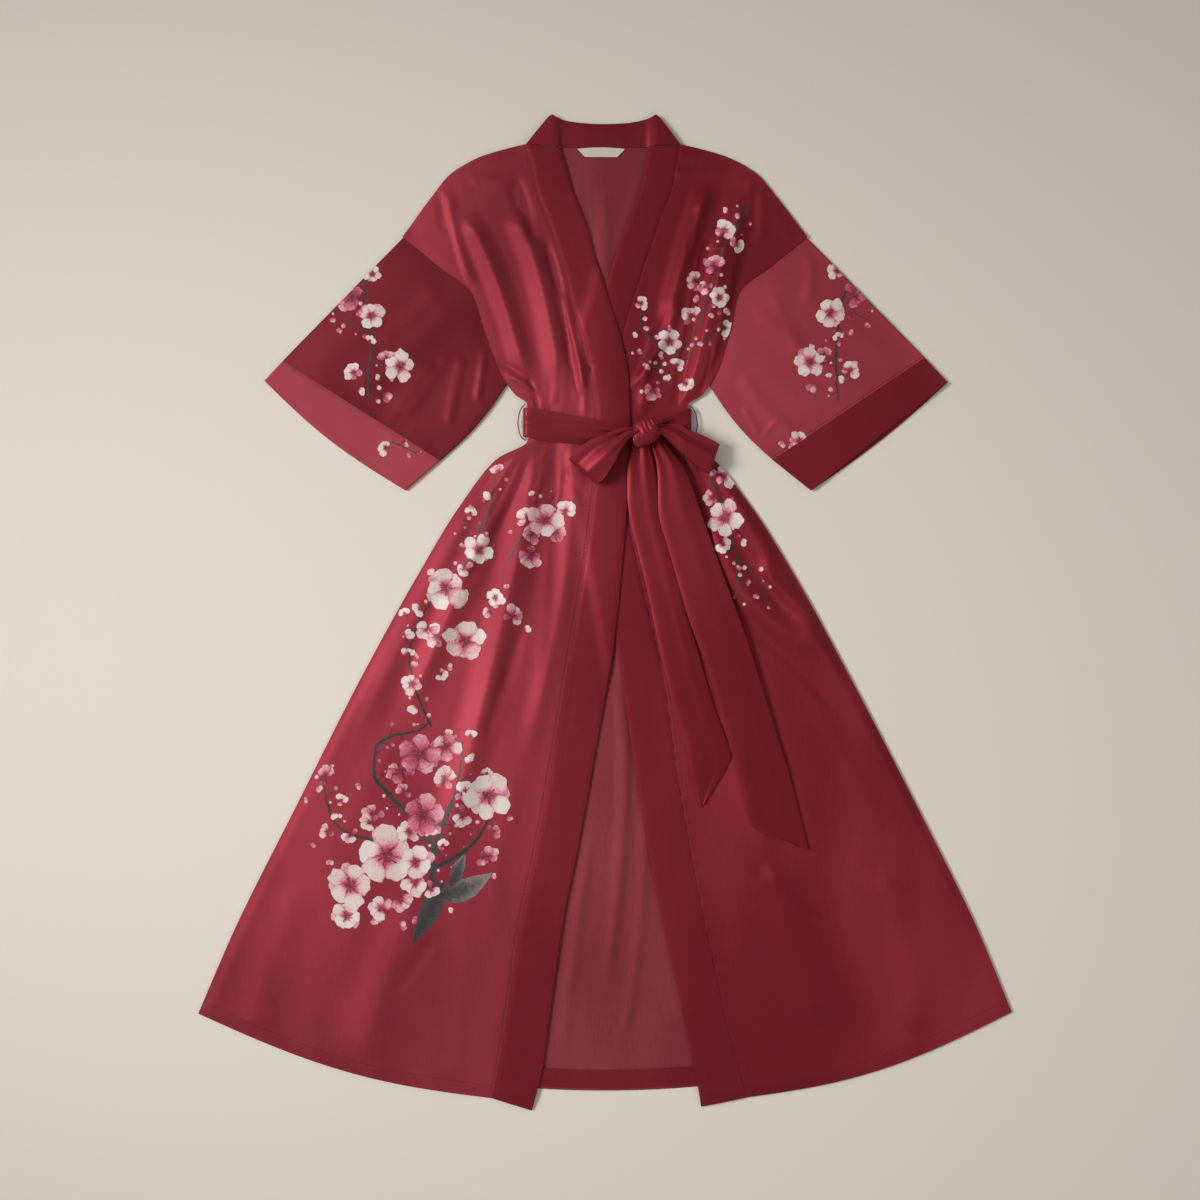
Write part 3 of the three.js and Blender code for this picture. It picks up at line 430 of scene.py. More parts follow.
satinPattern = dict(  # size across and along the thread in mm, then the noise's detail and roughness
    slubs=(1.3, 18, 3.0, 0.6), clouds=(150, 380, 2.0, 0.45), crumple=(16, 42, 2.5, 0.5))
satinTone = dict(deepAt=0.38, litAt=0.66, glossTint="#ff9ca2", sheenTint="#c8545e")


def satinWeave(name, look):
    # Polyester satin, woven with long floats. The floats lie side by side like fine wires and throw
    # one broad gloss in the cloth's own colour, so the surface is made partly metallic, and slow
    # changes of tension give its lighter and darker clouds. Threads of 0.15 mm are too fine for the
    # picture, so they are drawn as slubs of 1.3 mm by 18 mm.
    material, tree = newMaterial(name)
    place = addNode(tree, "ShaderNodeUVMap", {"uv_map": "weave"})
    pattern = {}
    for kind, (across, along, detail, roughness) in satinPattern.items():
        turned = addNode(tree, "ShaderNodeMapping", None, {
            "Vector": place.outputs["UV"], "Rotation": (0, 0, look["turn"]),
            "Scale": (1 / (across * mm), 1 / (along * mm), 1)})
        made = addNode(tree, "ShaderNodeTexNoise", {"noise_dimensions": "2D"}, {
            "Vector": turned.outputs["Vector"], "Scale": 1.0, "Detail": detail, "Roughness": roughness})
        pattern[kind] = made.outputs["Fac"]
    tone = addNode(tree, "ShaderNodeMath", {"operation": "MULTIPLY_ADD"}, {
        0: pattern["slubs"], 1: look["grain"], 2: pattern["clouds"]})
    shades = addNode(tree, "ShaderNodeValToRGB", None, {"Fac": tone.outputs["Value"]})
    for stop, at, colour in zip(shades.color_ramp.elements, ("deepAt", "litAt"), ("deep", "lit")):
        stop.position = satinTone[at] + look["grain"] * 0.5
        stop.color = linear(look[colour])
    slow = addNode(tree, "ShaderNodeBump", None, {
        "Height": pattern["crumple"], "Strength": look["crumple"], "Distance": 0.9 * mm})
    fine = addNode(tree, "ShaderNodeBump", None, {
        "Height": pattern["slubs"], "Strength": 0.5, "Distance": 0.12 * mm,
        "Normal": slow.outputs["Normal"]})
    run = addNode(tree, "ShaderNodeTangent", {"direction_type": "UV_MAP", "uv_map": "weave"})
    surface = addNode(tree, "ShaderNodeBsdfPrincipled", None, {
        "Base Color": shades.outputs["Color"], "Roughness": look["roughness"], "IOR": 1.5,
        "Metallic": look["gloss"], "Specular IOR Level": 0.3,
        "Specular Tint": linear(satinTone["glossTint"]),
        "Anisotropic": look["anisotropy"], "Anisotropic Rotation": look["turn"] / math.tau,
        "Sheen Weight": look["sheen"], "Sheen Roughness": 0.4,
        "Sheen Tint": linear(satinTone["sheenTint"]),
        "Normal": fine.outputs["Normal"], "Tangent": run.outputs["Tangent"]})
    addNode(tree, "ShaderNodeOutputMaterial", None, {"Surface": surface.outputs["BSDF"]})
    return material


faceSide = dict(grain=0.16, roughness=0.5, gloss=0.36, anisotropy=0.4, sheen=0.12, crumple=0.22, turn=0.0)
# Painted sheen and shade: apart from the inside, the pieces are one satin. Its lit and deep colours are set
# lighter or darker per piece for the sheen of the piece's thread direction and the light that falls on it.
# The left sleeve and right cuff are painted lit, the right sleeve and left cuff are painted shaded, and the
# right front is painted lighter than the left.
looks = dict(
    frontRight=dict(lit="#a53c49", deep="#8a2e3b", roughness=0.54, gloss=0.30),
    frontLeft=dict(lit="#962f3b", deep="#7c212d"),
    inside=dict(lit="#94404a", deep="#83333c", grain=0.3, roughness=0.62, gloss=0.1, anisotropy=0.0,
                sheen=0.25, crumple=0.2),
    band=dict(lit="#892a36", deep="#7b212d", roughness=0.48, anisotropy=0.3, sheen=0.1),
    sash=dict(lit="#902d39", deep="#7c212c", grain=0.14, roughness=0.46, gloss=0.38, anisotropy=0.3,
              sheen=0.1, crumple=0.3),
    sleeveRightShaded=dict(lit="#842b37", deep="#72212c", crumple=0.2, turn=0.6),
    sleeveLeftLit=dict(lit="#b04653", deep="#a13b48", crumple=0.2, turn=-0.6),
    cuffRightLit=dict(lit="#b64e5b", deep="#ab4753", roughness=0.48, anisotropy=0.3),
    cuffLeftShaded=dict(lit="#8a2a36", deep="#7e222d", roughness=0.48, anisotropy=0.3, sheen=0.1))
satin = {key: satinWeave("satin_" + key, {**faceSide, **look}) for key, look in looks.items()}


# The back, its hem and the fronts

def laidPanel(name, settings, plan, height, middle, last, material):
    # rows are evenly spaced along the panel's middle line
    stations = evenStations(middle, last, settings["down"])

    def place(u, v):
        row = stations[round(v * settings["down"])]
        x, y = plan(row, u)
        return x, y, height(row, u, x, y) + walls["panel"]
    clothGrid(name, settings["across"], settings["down"], place, planWeave, material, walls["panel"])


back = dict(across=104, down=170, opening=0.45)


def makeBack():
    at = columnCurves(backColumns, backRows)
    neck = columnCurves("at share", neckShape, "at")["share"]

    def plan(row, u):
        u = mix(u, 0.5 + 4 * (u - 0.5) ** 3, back["opening"])  # closer columns where the skirt opens
        x, y = between(at, ("left", "right"), row, u)
        rise = backSizes["neckRise"] * at["neck"](row) * neck(u)
        return x, y + rise - backSizes["hemArc"] * at["hem"](row) * (1 - (2 * u - 1) ** 2)

    def middle(row):
        return Vector(plan(row, 0.5))

    def height(row, u, x, y):
        return backClothZ(x, y)
    laidPanel("back_cloth", back, plan, height, middle, len(backRows) - 1, satin["inside"])


def backHemY(x):
    leftY, rightX, rightY = backRows[-1][1:4]
    return mix(leftY, rightY, 0.5) - backSizes["hemArc"] * (1 - (x / rightX) ** 2)


backHem = dict(fromX=-122, toX=150, depth=24, inset=3, across=90, down=8, ripple=0.5, rippleSize=13)


def makeBackHem():
    def place(u, v):
        x = mix(backHem["fromX"], backHem["toX"], u)
        y = backHemY(x) + backHem["inset"] + backHem["depth"] * (1 - v)
        wave = backHem["ripple"] * (0.5 + 0.5 * wander(x / backHem["rippleSize"], v, 4.2)) * dome(v)
        return x, y, walls["panel"] * 2 + seamGap + wave
    clothGrid("back_hem_fold", backHem["across"], backHem["down"], place, planWeave,
              satin["band"], walls["panel"])


front = dict(across=84, down=250, groove=0.35, grooveReach=2.5, hemPucker=0.35, hemAt=10, hemReach=12,
             looseAt=-230, looseHalf=270, looseRamp=60, tight=0.35, bend=1.6, bendSize=60, patchy=45)
frontRight = dict(side=1, pucker=0.5, period=17, reach=9, seed=1.3)
frontLeft = dict(side=-1, pucker=1.15, period=24, reach=17, seed=6.4)


def makeFront(name, own, rows, bandAt, clothZ, material):
    at = columnCurves(frontColumns, rows)
    bow = columnCurves("at bow", shoulderShape, "at")["bow"]
    last, side, seed = len(rows) - 1, own["side"], own["seed"]
    known = {}

    def ends(row):
        if row not in known:
            seamY = at["seamY"](row)
            outer = Vector((at["outerX"](row), at["outerY"](row)))
            seam = Vector((bandAt["seamX"](seamY) - side * seamGap / 2, seamY))
            outward = Vector((outer.y - seam.y, seam.x - outer.x)).normalized()
            known[row] = (outer, seam, outward * side * at["shoulderBow"](row), at["hemBow"](row),
                          (outer - seam).length, at["edge"](row))
        return known[row]

    def plan(row, u):
        outer, seam, outward, hemBow = ends(row)[:4]
        point = outer.lerp(seam, u) + outward * bow(u)
        return point.x, point.y - hemBow * dome(u)

    def seamPucker(y, fromSeam):  # uneven waves along the band's seam, larger below the sash
        loose = smooth((front["looseHalf"] - abs(y - front["looseAt"])) / front["looseRamp"])
        turns = y / own["period"] + front["bend"] * wander(y / front["bendSize"], 0, seed)
        depth = mix(front["tight"], 1, loose) * (0.55 + 0.45 * wander(y / front["patchy"], 3, seed))
        wave = own["pucker"] * math.sin(math.tau * turns) * depth * fade(fromSeam, own["reach"])
        return wave - front["groove"] * fade(fromSeam, front["grooveReach"])

    def height(row, u, x, y):
        width, edge = ends(row)[4:]
        fromSide, fromSeam = u * width, (1 - u) * width
        fromHem = y - plan(last, u)[1]
        fromShoulder = plan(0, u)[1] - y
        hemWave = front["hemPucker"] * wander(x / 9, fromHem / 30, seed)
        cloth = clothZ(x, y) + seamPucker(y, fromSeam)
        cloth += hemWave * fade(fromHem - front["hemAt"], front["hemReach"])
        roll = levels["roll"]
        shoulderEdge = mix(levels["front"], levels["edge"], smooth(min(fromSide, fromSeam) / roll))
        return min(mix(edge, cloth, smooth(fromSide / roll)),
                   mix(levels["edge"], cloth, smooth(fromHem / roll)),
                   mix(shoulderEdge, cloth, smooth(fromShoulder / roll)))

    def middle(row):
        return (ends(row)[0] + ends(row)[1]) / 2
    laidPanel(name, front, plan, height, middle, last, material)


band = dict(across=14, down=330, width=44, crown=0.5, edgeDrop=0.7, edgeReach=1.8, ripple=0.35,
            rippleAcross=1.5, rippleAlong=16)


def makeBand(name, rows, at, clothZ, seed):
    endY, startY = rows[-1][0], rows[0][0]

    def place(u, v):
        seamY = mix(startY, endY, v)
        x = mix(at["seamX"](seamY), at["openX"](seamY), u)
        y = seamY - at["drop"](seamY) * u
        z = mix(levels["edge"], clothZ(x, y), smooth((seamY - endY) / levels["roll"]))
        ripple = band["ripple"] * wander(u * band["rippleAcross"], seamY / band["rippleAlong"], seed)
        z += (band["crown"] + ripple) * dome(u)
        z -= band["edgeDrop"] * fade(min(u, 1 - u) * band["width"], band["edgeReach"])
        return x, y, z + walls["band"]
    clothGrid(name, band["across"], band["down"], place, planWeave, satin["band"], walls["band"])


makeBack()
makeBackHem()
makeFront("front_right_cloth", frontRight, rightFrontRows, rightBandAt, rightClothZ, satin["frontRight"])
makeFront("front_left_cloth", frontLeft, leftFrontRows, leftBandAt, leftClothZ, satin["frontLeft"])
makeBand("band_right_cloth", rightBandRows, rightBandAt, rightClothZ, 2.2)
makeBand("band_left_cloth", leftBandRows, leftBandAt, leftClothZ, 7.7)


# The neck band and its label

neckColumns = "lowX lowY topX topY lift"
neckRows = [
    (-103, 610, -75, 643, 3.8), (-88, 609.6, -72, 645.5, 4.6), (-70, 608.6, -68, 647, 5),
    (-61, 607.6, -62, 644, 3.6), (-54, 606.6, -54, 641, 0.8), (-28, 606.6, -26, 637, 0.2),
    (0, 606.6, -2, 636, 0.2), (28, 606.6, 26, 637, 0.2), (52, 606.6, 50, 641, 0.8),
    (59, 607.6, 60, 644, 3.6), (68, 608.6, 66, 647, 5), (83, 609.6, 69, 645.5, 4.6), (98, 610, 72, 643, 3.8)]
neckBand = dict(across=10, down=96, crown=0.9, ripple=0.3, tuck=1.15)


def makeNeckBand():
    at = columnCurves(neckColumns, neckRows)

    def place(u, v):
        row = v * (len(neckRows) - 1)
        x, y = between(at, ("low", "top"), row, u)
        crown = (neckBand["crown"] + neckBand["ripple"] * wander(x / 14, u * 2, 9.1)) * dome(u)
        return x, y - neckBand["tuck"] * (1 - u), at["lift"](row) + crown + walls["band"]
    clothGrid("band_neck_cloth", neckBand["across"], neckBand["down"], place, planWeave,
              satin["band"], walls["band"])


label = dict(topHalf=31, lowHalf=21, topY=605.5, lowY=593, middleX=-5, arch=2, across=28, down=8,
             curl=0.7, wave=0.25, ribs=0.7)


def labelTape(name):
    # Woven polyester label tape: close pale threads along its length and a flat, dry surface. They are
    # drawn 0.7 mm apart, because the real ones are too fine to show.
    material, tree = newMaterial(name)
    place = addNode(tree, "ShaderNodeUVMap", {"uv_map": "weave"})
    across = addNode(tree, "ShaderNodeMapping", None, {
        "Vector": place.outputs["UV"], "Scale": (1 / mm, 1 / mm, 1)})
    ribs = addNode(tree, "ShaderNodeTexWave", {"bands_direction": "Y"}, {
        "Vector": across.outputs["Vector"], "Scale": waveTurn / label["ribs"], "Distortion": 0.6,
        "Detail": 1.0})
    shades = addNode(tree, "ShaderNodeValToRGB", None, {"Fac": ribs.outputs["Fac"]})
    shades.color_ramp.elements[0].color = linear("#cfc6bd")
    shades.color_ramp.elements[1].color = linear("#ece5dd")
    bump = addNode(tree, "ShaderNodeBump", None, {
        "Height": ribs.outputs["Fac"], "Strength": 0.5, "Distance": 0.2 * mm})
    surface = addNode(tree, "ShaderNodeBsdfPrincipled", None, {
        "Base Color": shades.outputs["Color"], "Roughness": 0.72, "IOR": 1.5,
        "Normal": bump.outputs["Normal"]})
    addNode(tree, "ShaderNodeOutputMaterial", None, {"Surface": surface.outputs["BSDF"]})
    return material


def makeLabel():
    def place(u, v):
        side = 2 * u - 1
        x = label["middleX"] + side * mix(label["topHalf"], label["lowHalf"], v)
        top = label["topY"] - label["arch"] * side * side
        curl = label["curl"] * v * v + label["wave"] * math.sin(5 * u + 1)
        return x, mix(top, label["lowY"], v), walls["panel"] + seamGap + walls["label"] + curl
    clothGrid("label_tape", label["across"], label["down"], place, planWeave,
              labelTape("woven_label"), walls["label"])


makeNeckBand()
makeLabel()


# Sleeves and cuffs: flattened open tubes

armholeLine = [(0, -257, 257, 494), (0.22, -213, 213, 457), (0.45, -168, 168, 421),
               (0.68, -149.5, 154.5, 368), (0.92, -130, 138, 315), (1, -124, 132, 302)]
rightSleeveCreases = crestLines([
    (-190, 404, -262, 334, -330, 294, 2.4, 26, 30), (-222, 330, -256, 280, -292, 236, 2, 20, 22),
    (-250, 440, -325, 365, -392, 318, 1.2, 34, 30),
    (-154, 346, -160, 312, -166, 272, 3.2, 9, 9), (-184, 336, -194, 292, -204, 238, 2, 13, 10),
    (-214, 430, -252, 384, -300, 352, 1.6, 20, 24), (-200, 340, -232, 290, -262, 250, 1.5, 12, 12),
    *gathers(21, [(-222, 208, -404, 322, 9, 9, 15, 0, 0.6)])])
leftSleeveCreases = crestLines([
    (190, 404, 262, 334, 330, 294, 2.2, 30, 26), (176, 316, 212, 262, 258, 226, 2, 20, 18),
    (250, 440, 325, 365, 392, 318, 1.2, 30, 34),
    (262, 470, 268, 436, 262, 398, 1.8, 14, 12), (214, 420, 240, 370, 252, 330, 1.4, 16, 14),
    (226, 250, 214, 240, 206, 226, 1.2, 6, 6), (180, 270, 192, 246, 200, 232, 1.2, 6, 6),
    *gathers(22, [(226, 208, 400, 322, 9, -9, 15, 0, 0.5)])])
rightSleeve = dict(side=1, key="rightX", seam=(Vector((-419, 328)), Vector((-214, 198))),
                   mouth=(Vector((-443, 302)), Vector((-259, 159))), mouthBow=9,
                   creases=rightSleeveCreases)
leftSleeve = dict(side=-1, key="leftX", seam=(Vector((416, 332)), Vector((218, 199))),
                  mouth=(Vector((446, 300)), Vector((268, 159))), mouthBow=5,
                  creases=leftSleeveCreases)
sleeve = dict(around=120, down=56, cuffDown=16, width=235, length=225, cuffLength=40, rim=2.4, crowd=0.6,
              armhole=3.1, height=4.8, cuffHeight=5.4, lowest=-1.1, quiet=0.35, underarmBow=6,
              swellShare=0.22, startShare=0.12, mouthShare=0.04, sideShare=0.06)
cuff = dict(gap=seamGap / 2, sideShare=0.05, pucker=0.5, puckerShare=0.5, dip=0.5, dipShare=0.05)


def flatTube(name, down, plan, topZ, material, wall, length):
    def place(u, v):
        lower = u > 0.5
        t = 2 * (1 - u) if lower else 2 * u
        c = mix(t, 0.5 - 0.5 * math.cos(math.pi * t), sleeve["crowd"])  # closer at the folded sides
        x, y = plan(v, c, lower)
        half = topZ(v, c, x, y) / 2
        inward = min(1, min(c, 1 - c) * sleeve["width"] / sleeve["rim"])
        opened = half * math.sqrt(max(0.0, 1 - (1 - inward) ** 2))
        return x, y, half - opened if lower else half + opened
    clothGrid(name, sleeve["around"], down, place, stripWeave(2 * sleeve["width"], length), material, wall,
              tube=True, closed=True)


def makeSleeve(name, part, material, seed):
    start = columnCurves("at rightX leftX y", armholeLine, "at")

    def plan(v, c, lower):
        armhole = Vector((start[part["key"]](c), start["y"](c)))
        seam = part["seam"][0].lerp(part["seam"][1], c)
        bow = sleeve["underarmBow"] * dome(v) * c * c
        point = armhole.lerp(seam, v) + Vector((part["side"], -1)).normalized() * bow
        return point.x, point.y

    def topZ(v, c, x, y):
        swellShare = sleeve["swellShare"]
        ends = smooth(v / swellShare) * smooth((1 - v) / swellShare)
        small = smooth(v / sleeve["startShare"]) * smooth((1 - v) / sleeve["mouthShare"])
        small *= smooth(min(c, 1 - c) / sleeve["sideShare"])
        folds = creaseHeight(part["creases"], x, y) * mix(small * sleeve["quiet"], 1, ends)
        rise = mix(sleeve["armhole"], sleeve["height"], smooth(v / swellShare))
        soft = swell(x, y, seed, 60, 75, 1.0) + swell(x, y, seed + 3, 26, 34, 0.2)
        return rise + max(sleeve["lowest"], folds + soft * small)
    flatTube(name, sleeve["down"], plan, topZ, material, walls["panel"], sleeve["length"])


def makeCuff(name, part, material, seed):
    def plan(v, c, lower):
        seam = part["seam"][0].lerp(part["seam"][1], c)
        mouth = part["mouth"][0].lerp(part["mouth"][1], c)
        outward = (mouth - seam).normalized()
        onward = outward * (part["mouthBow"] * dome(c) if lower else 0)
        point = (seam + outward * cuff["gap"]).lerp(mouth + onward, v)
        return point.x, point.y

    def topZ(v, c, x, y):
        pucker = cuff["pucker"] * wander(c * 18, v * 1.5, seed) * fade(v, cuff["puckerShare"])
        soft = (pucker + swell(x, y, seed, 40, 40, 0.5)) * smooth(min(c, 1 - c) / cuff["sideShare"])
        return sleeve["cuffHeight"] + soft - cuff["dip"] * fade(v, cuff["dipShare"])
    flatTube(name, sleeve["cuffDown"], plan, topZ, material, walls["cuff"], sleeve["cuffLength"])


makeSleeve("sleeve_right_cloth", rightSleeve, satin["sleeveRightShaded"], 2.9)
makeSleeve("sleeve_left_cloth", leftSleeve, satin["sleeveLeftLit"], 5.2)
makeCuff("cuff_right_cloth", rightSleeve, satin["cuffRightLit"], 1.1)
makeCuff("cuff_left_cloth", leftSleeve, satin["cuffLeftShaded"], 4.6)


# The sash, its bow and its tails

sashColumns = "topX topY lowX lowY z"
rightSashRows = [
    (50, 239, 50, 229, 10.4), (36, 239, 34, 228, 10.4), (24, 241, 8, 227, 10.4), (-7, 250, -27, 219, 10.4),
    (-34, 255, -48, 220, 10), (-61, 260, -70, 222, 9.4), (-84, 264, -88, 225, 8.8),
    (-99, 266, -101, 228, 8.2), (-103.4, 266, -104, 229, 7), (-105.4, 266, -105.8, 229, 5),
    (-106.3, 266, -106.5, 229, 2.6), (-106.5, 266, -106.6, 229, 0.3)]
leftSashRows = [
    (54, 240, 54, 231, 10.4), (70, 244, 72, 231, 10.4), (87, 255, 87, 226, 9.8), (99, 262, 99, 227, 9),
    (106, 264, 106, 228, 8.2), (109.6, 265, 109.6, 229, 7), (111.4, 265, 111.4, 229, 5),
    (112.3, 265, 112.3, 229, 2.6), (112.5, 265, 112.5, 229, 0.3)]
tailColumns = "leftX leftY rightX rightY z crown"
shortTailRows = [
    (38, 232, 54, 232, 12.8, 0.2), (34, 214, 58, 215, 12.6, 1), (29, 186, 65, 186, 10.8, 1.6),
    (29, 151, 70, 151, 9.6, 1.6), (33, 118, 77, 118, 8.2, 1.2), (42, 82, 86, 82, 7.2, 1),
    (55, 27, 100, 27, 6.6, 0.8), (63, -11, 109, -11, 6.4, 0.8), (71, -49, 120, -48, 6.4, 0.8),
    (89, -122, 140, -117, 6.2, 0.8), (104, -172, 156, -160, 6, 0.6), (113, -214, 164, -183, 6, 0.4),
    (123, -252, 130, -247, 5.9, 0)]
longTailRows = [
    (52, 234, 66, 234, 14.7, 0.2), (60, 216, 77, 220, 14.8, 1), (68, 179, 103, 186, 13.6, 1.8),
    (69, 134, 121, 139, 12.4, 1.6), (86, 69, 144, 74, 12.6, 1.2), (110, -13, 173, -5, 13.2, 1),
    (124, -50, 186, -42, 12, 1), (138, -90, 198, -79, 10.8, 1), (160, -168, 221, -153, 9.2, 1),
    (177, -225, 239, -210, 7.8, 0.8), (190, -276, 252, -259, 6.8, 0.6), (247, -301, 264, -307, 6.6, 0)]
rightLoopRows = [  # topX, topY, lowX, lowY, and the heights of the strip's way out and home
    (41, 239, 41, 228, 22.4, 30.6), (34, 239, 33, 227, 22.3, 30.6), (14, 236, 19, 208, 17.5, 30.5),
    (-2, 229, 12, 194, 15, 30.5), (-18, 223, 5, 182, 13.6, 28), (-33, 212, -2, 173, 13.4, 24.5),
    (-44, 201, -8, 168, 14.4, 20)]
leftLoopRows = [
    (65, 239, 65, 230, 24, 30.6), (72, 242, 72, 231, 23.6, 30.6), (92, 243, 88, 216, 18, 30.5),
    (106, 236, 99, 205, 15.4, 30), (122, 230, 110, 196, 14.2, 27.5), (136, 224, 122, 187, 14, 24),
    (146, 219, 133, 180, 14.6, 20)]
sash = dict(across=24, width=37, ridges=2.3, drift=0.35, crown=1.8, ridge=1.5, relaxed=0.35,
            ripple=0.5, gatheredAt=38, gatherRamp=20, laidAt=2, laidRamp=5)


def makeSash(name, rows, side, down, seed):
    at, stations, length = stripAlong(sashColumns, ("top", "low"), rows, down)

    def place(u, v):
        if side < 0:
            u = 1 - u
        row = stations[round(v * down)]
        wide = math.dist(between(at, ("top", "low"), row, 0), between(at, ("top", "low"), row, 1))
        gathered = sash["relaxed"] + smooth((sash["gatheredAt"] - wide) / sash["gatherRamp"])
        turns = sash["ridges"] * u + sash["drift"] * math.sin(2.2 * v + seed)
        relief = sash["crown"] * dome(u) + sash["ridge"] * math.cos(math.tau * turns) * gathered
        relief += sash["ripple"] * wander(u * 2, v * 5, seed)
        laid = smooth((at["z"](row) - sash["laidAt"]) / sash["laidRamp"])
        return (*between(at, ("top", "low"), row, u), at["z"](row) + walls["sash"] + laid * relief)
    clothGrid(name, sash["across"], down, place, stripWeave(sash["width"], length), satin["sash"],
              walls["sash"])


tail = dict(width=50, relaxed=0.25, bunched=60, ripple=0.5, edgeDrop=0.5, edgeWidth=48, edgeReach=1.8)


def makeTail(name, rows, down, seed, folds):  # folds: place across, drift, height and width
    at, stations, length = stripAlong(tailColumns, ("left", "right"), rows, down, rising=False)

    def place(u, v):
        row = stations[round(v * down)]
        z = at["z"](row) + at["crown"](row) * dome(u) + walls["sash"]
        strength = tail["relaxed"] + math.exp(-v * length / tail["bunched"])
        for where, drift, tall, width in folds:
            z += tall * strength * fade(u - where - drift * v, width)
        z += tail["ripple"] * wander(u * 1.4, v * length / 40, seed) * dome(u)
        z -= tail["edgeDrop"] * fade(min(u, 1 - u) * tail["edgeWidth"], tail["edgeReach"])
        return (*between(at, ("left", "right"), row, u), z)
    clothGrid(name, sash["across"], down, place, stripWeave(tail["width"], length), satin["sash"],
              walls["sash"])


bowLoop = dict(down=84, width=42, turn=2.5, knotFrom=0.68, knotRamp=0.3, ridge=5.6, ridgeReach=0.36,
               hollow=4.4, hollowReach=0.13, crown=1.2, pleat=0.9, pleats=4.1, ripple=0.7)


def makeLoop(name, rows, side, seed, ridgeAt, hollowAt):
    # the strip runs out under the loop, turns back at its tip and comes home over it
    tip, before = rows[-1], rows[-2]
    outward = Vector((tip[0] + tip[2] - before[0] - before[2], tip[1] + tip[3] - before[1] - before[3]))
    outward = outward.normalized() * bowLoop["turn"]
    path = [(*row[:5], 0) for row in rows]
    path.append((tip[0] + outward.x, tip[1] + outward.y, tip[2] + outward.x, tip[3] + outward.y,
                 (tip[4] + tip[5]) / 2, 0.0))
    path += [(*row[:4], row[5], 1) for row in reversed(rows)]
    down, last = bowLoop["down"], len(path) - 1
    at, stations, length = stripAlong("topX topY lowX lowY z upper", ("top", "low"), path, down)

    def place(u, v):
        if side > 0:
            u = 1 - u
        row = stations[round(v * down)]
        upper = at["upper"](row)
        toKnot = smooth((row - last * bowLoop["knotFrom"]) / (last * bowLoop["knotRamp"]))
        ridge = max(0.0, 1 - abs(u - ridgeAt) / bowLoop["ridgeReach"]) ** 1.2
        crown = bowLoop["ridge"] * ridge * (1 - 0.5 * toKnot) + bowLoop["crown"] * dome(u)
        crown -= bowLoop["hollow"] * fade(u - hollowAt, bowLoop["hollowReach"]) * mix(0.4, 1, toKnot)
        crown += bowLoop["pleat"] * toKnot * math.cos(math.tau * (bowLoop["pleats"] * u + 0.2 * seed))
        crown += bowLoop["ripple"] * wander(u * 1.8, v * 6, seed)
        z = at["z"](row) + upper * crown + (walls["sash"] if upper > 0.5 else 0)
        return (*between(at, ("top", "low"), row, u), z)
    clothGrid(name, sash["across"], down, place, stripWeave(bowLoop["width"], length), satin["sash"],
              walls["sash"], closed=True)


knot = dict(x=53, y=233, z=27.2, halfLength=17, around=96, down=44, width=36, girth=96, inset=1.4,
            lean=3.2, rise=2.6, crease=1.5, sharp=0.55, level=0.62, endFlat=0.5, wraps=7.5, slant=1.15,
            stray=0.9, straySize=1.6, ripple=1.0, rippleAlong=2.2, rippleRound=1.7)
knotRows = [
    (-1, 12.5, 6.4), (-0.7, 18.2, 9.4), (-0.2, 20.2, 10.6), (0.4, 18.6, 10.2), (0.75, 15.5, 8.8),
    (1, 10.5, 6.2)]


def makeKnot():
    at = columnCurves("at halfY halfZ", knotRows, "at")

    def place(u, v):
        along, angle = 2 * v - 1, -math.tau * u
        high, deep = math.cos(angle), math.sin(angle)
        wrap = knot["wraps"] * (along + knot["slant"] * high * (0.75 + 0.25 * along))
        wrap += knot["stray"] * wander(along * knot["straySize"], high * knot["straySize"], 3)
        relief = knot["crease"] * (abs(math.sin(wrap)) ** knot["sharp"] - knot["level"])
        relief *= 1 - knot["endFlat"] * along ** 4
        size = knot["rippleRound"]
        relief += knot["ripple"] * wander(along * knot["rippleAlong"], high * size, deep * size)
        relief -= knot["inset"]
        rise = knot["rise"] * along * (1 - 0.4 * along)
        return (knot["x"] + along * knot["halfLength"] + knot["lean"] * high * (1 - along * along),
                knot["y"] + rise + (at["halfY"](along) + relief) * high,
                knot["z"] + (at["halfZ"](along) + relief) * deep)

    def weave(u, v, point):
        return v * knot["width"], u * knot["girth"]
    clothGrid("sash_knot_cloth", knot["around"], knot["down"], place, weave, satin["sash"],
              walls["sash"], tube=True, closed=True)


sashUnder = dict(fromX=-105.6, toX=111.6, lowY=229, topY=266, across=54, down=10)


def makeSashBack():
    def place(u, v):
        return (mix(sashUnder["fromX"], sashUnder["toX"], u), mix(sashUnder["topY"], sashUnder["lowY"], v),
                walls["sash"])
    clothGrid("sash_back_cloth", sashUnder["across"], sashUnder["down"], place, planWeave,
              satin["sash"], walls["sash"])


makeSashBack()
makeSash("sash_front_right_cloth", rightSashRows, 1, 60, 1.4)
makeSash("sash_front_left_cloth", leftSashRows, -1, 30, 2.6)
makeTail("tail_short_cloth", shortTailRows, 120, 3.3,
         [(0.12, 0.0, 1.6, 0.1), (0.4, 0.1, -1.4, 0.14), (0.66, 0.05, 1.6, 0.12)])
makeTail("tail_long_cloth", longTailRows, 140, 4.8,
         [(0.1, 0.0, 1.8, 0.1), (0.34, 0.0, -1.2, 0.14), (0.62, 0.05, 1.6, 0.13)])
makeLoop("bow_loop_right_cloth", rightLoopRows, 1, 1.9, 0.6, 0.3)
makeLoop("bow_loop_left_cloth", leftLoopRows, -1, 3.7, 0.5, 0.24)
makeKnot()


# The thread loops that carry the sash

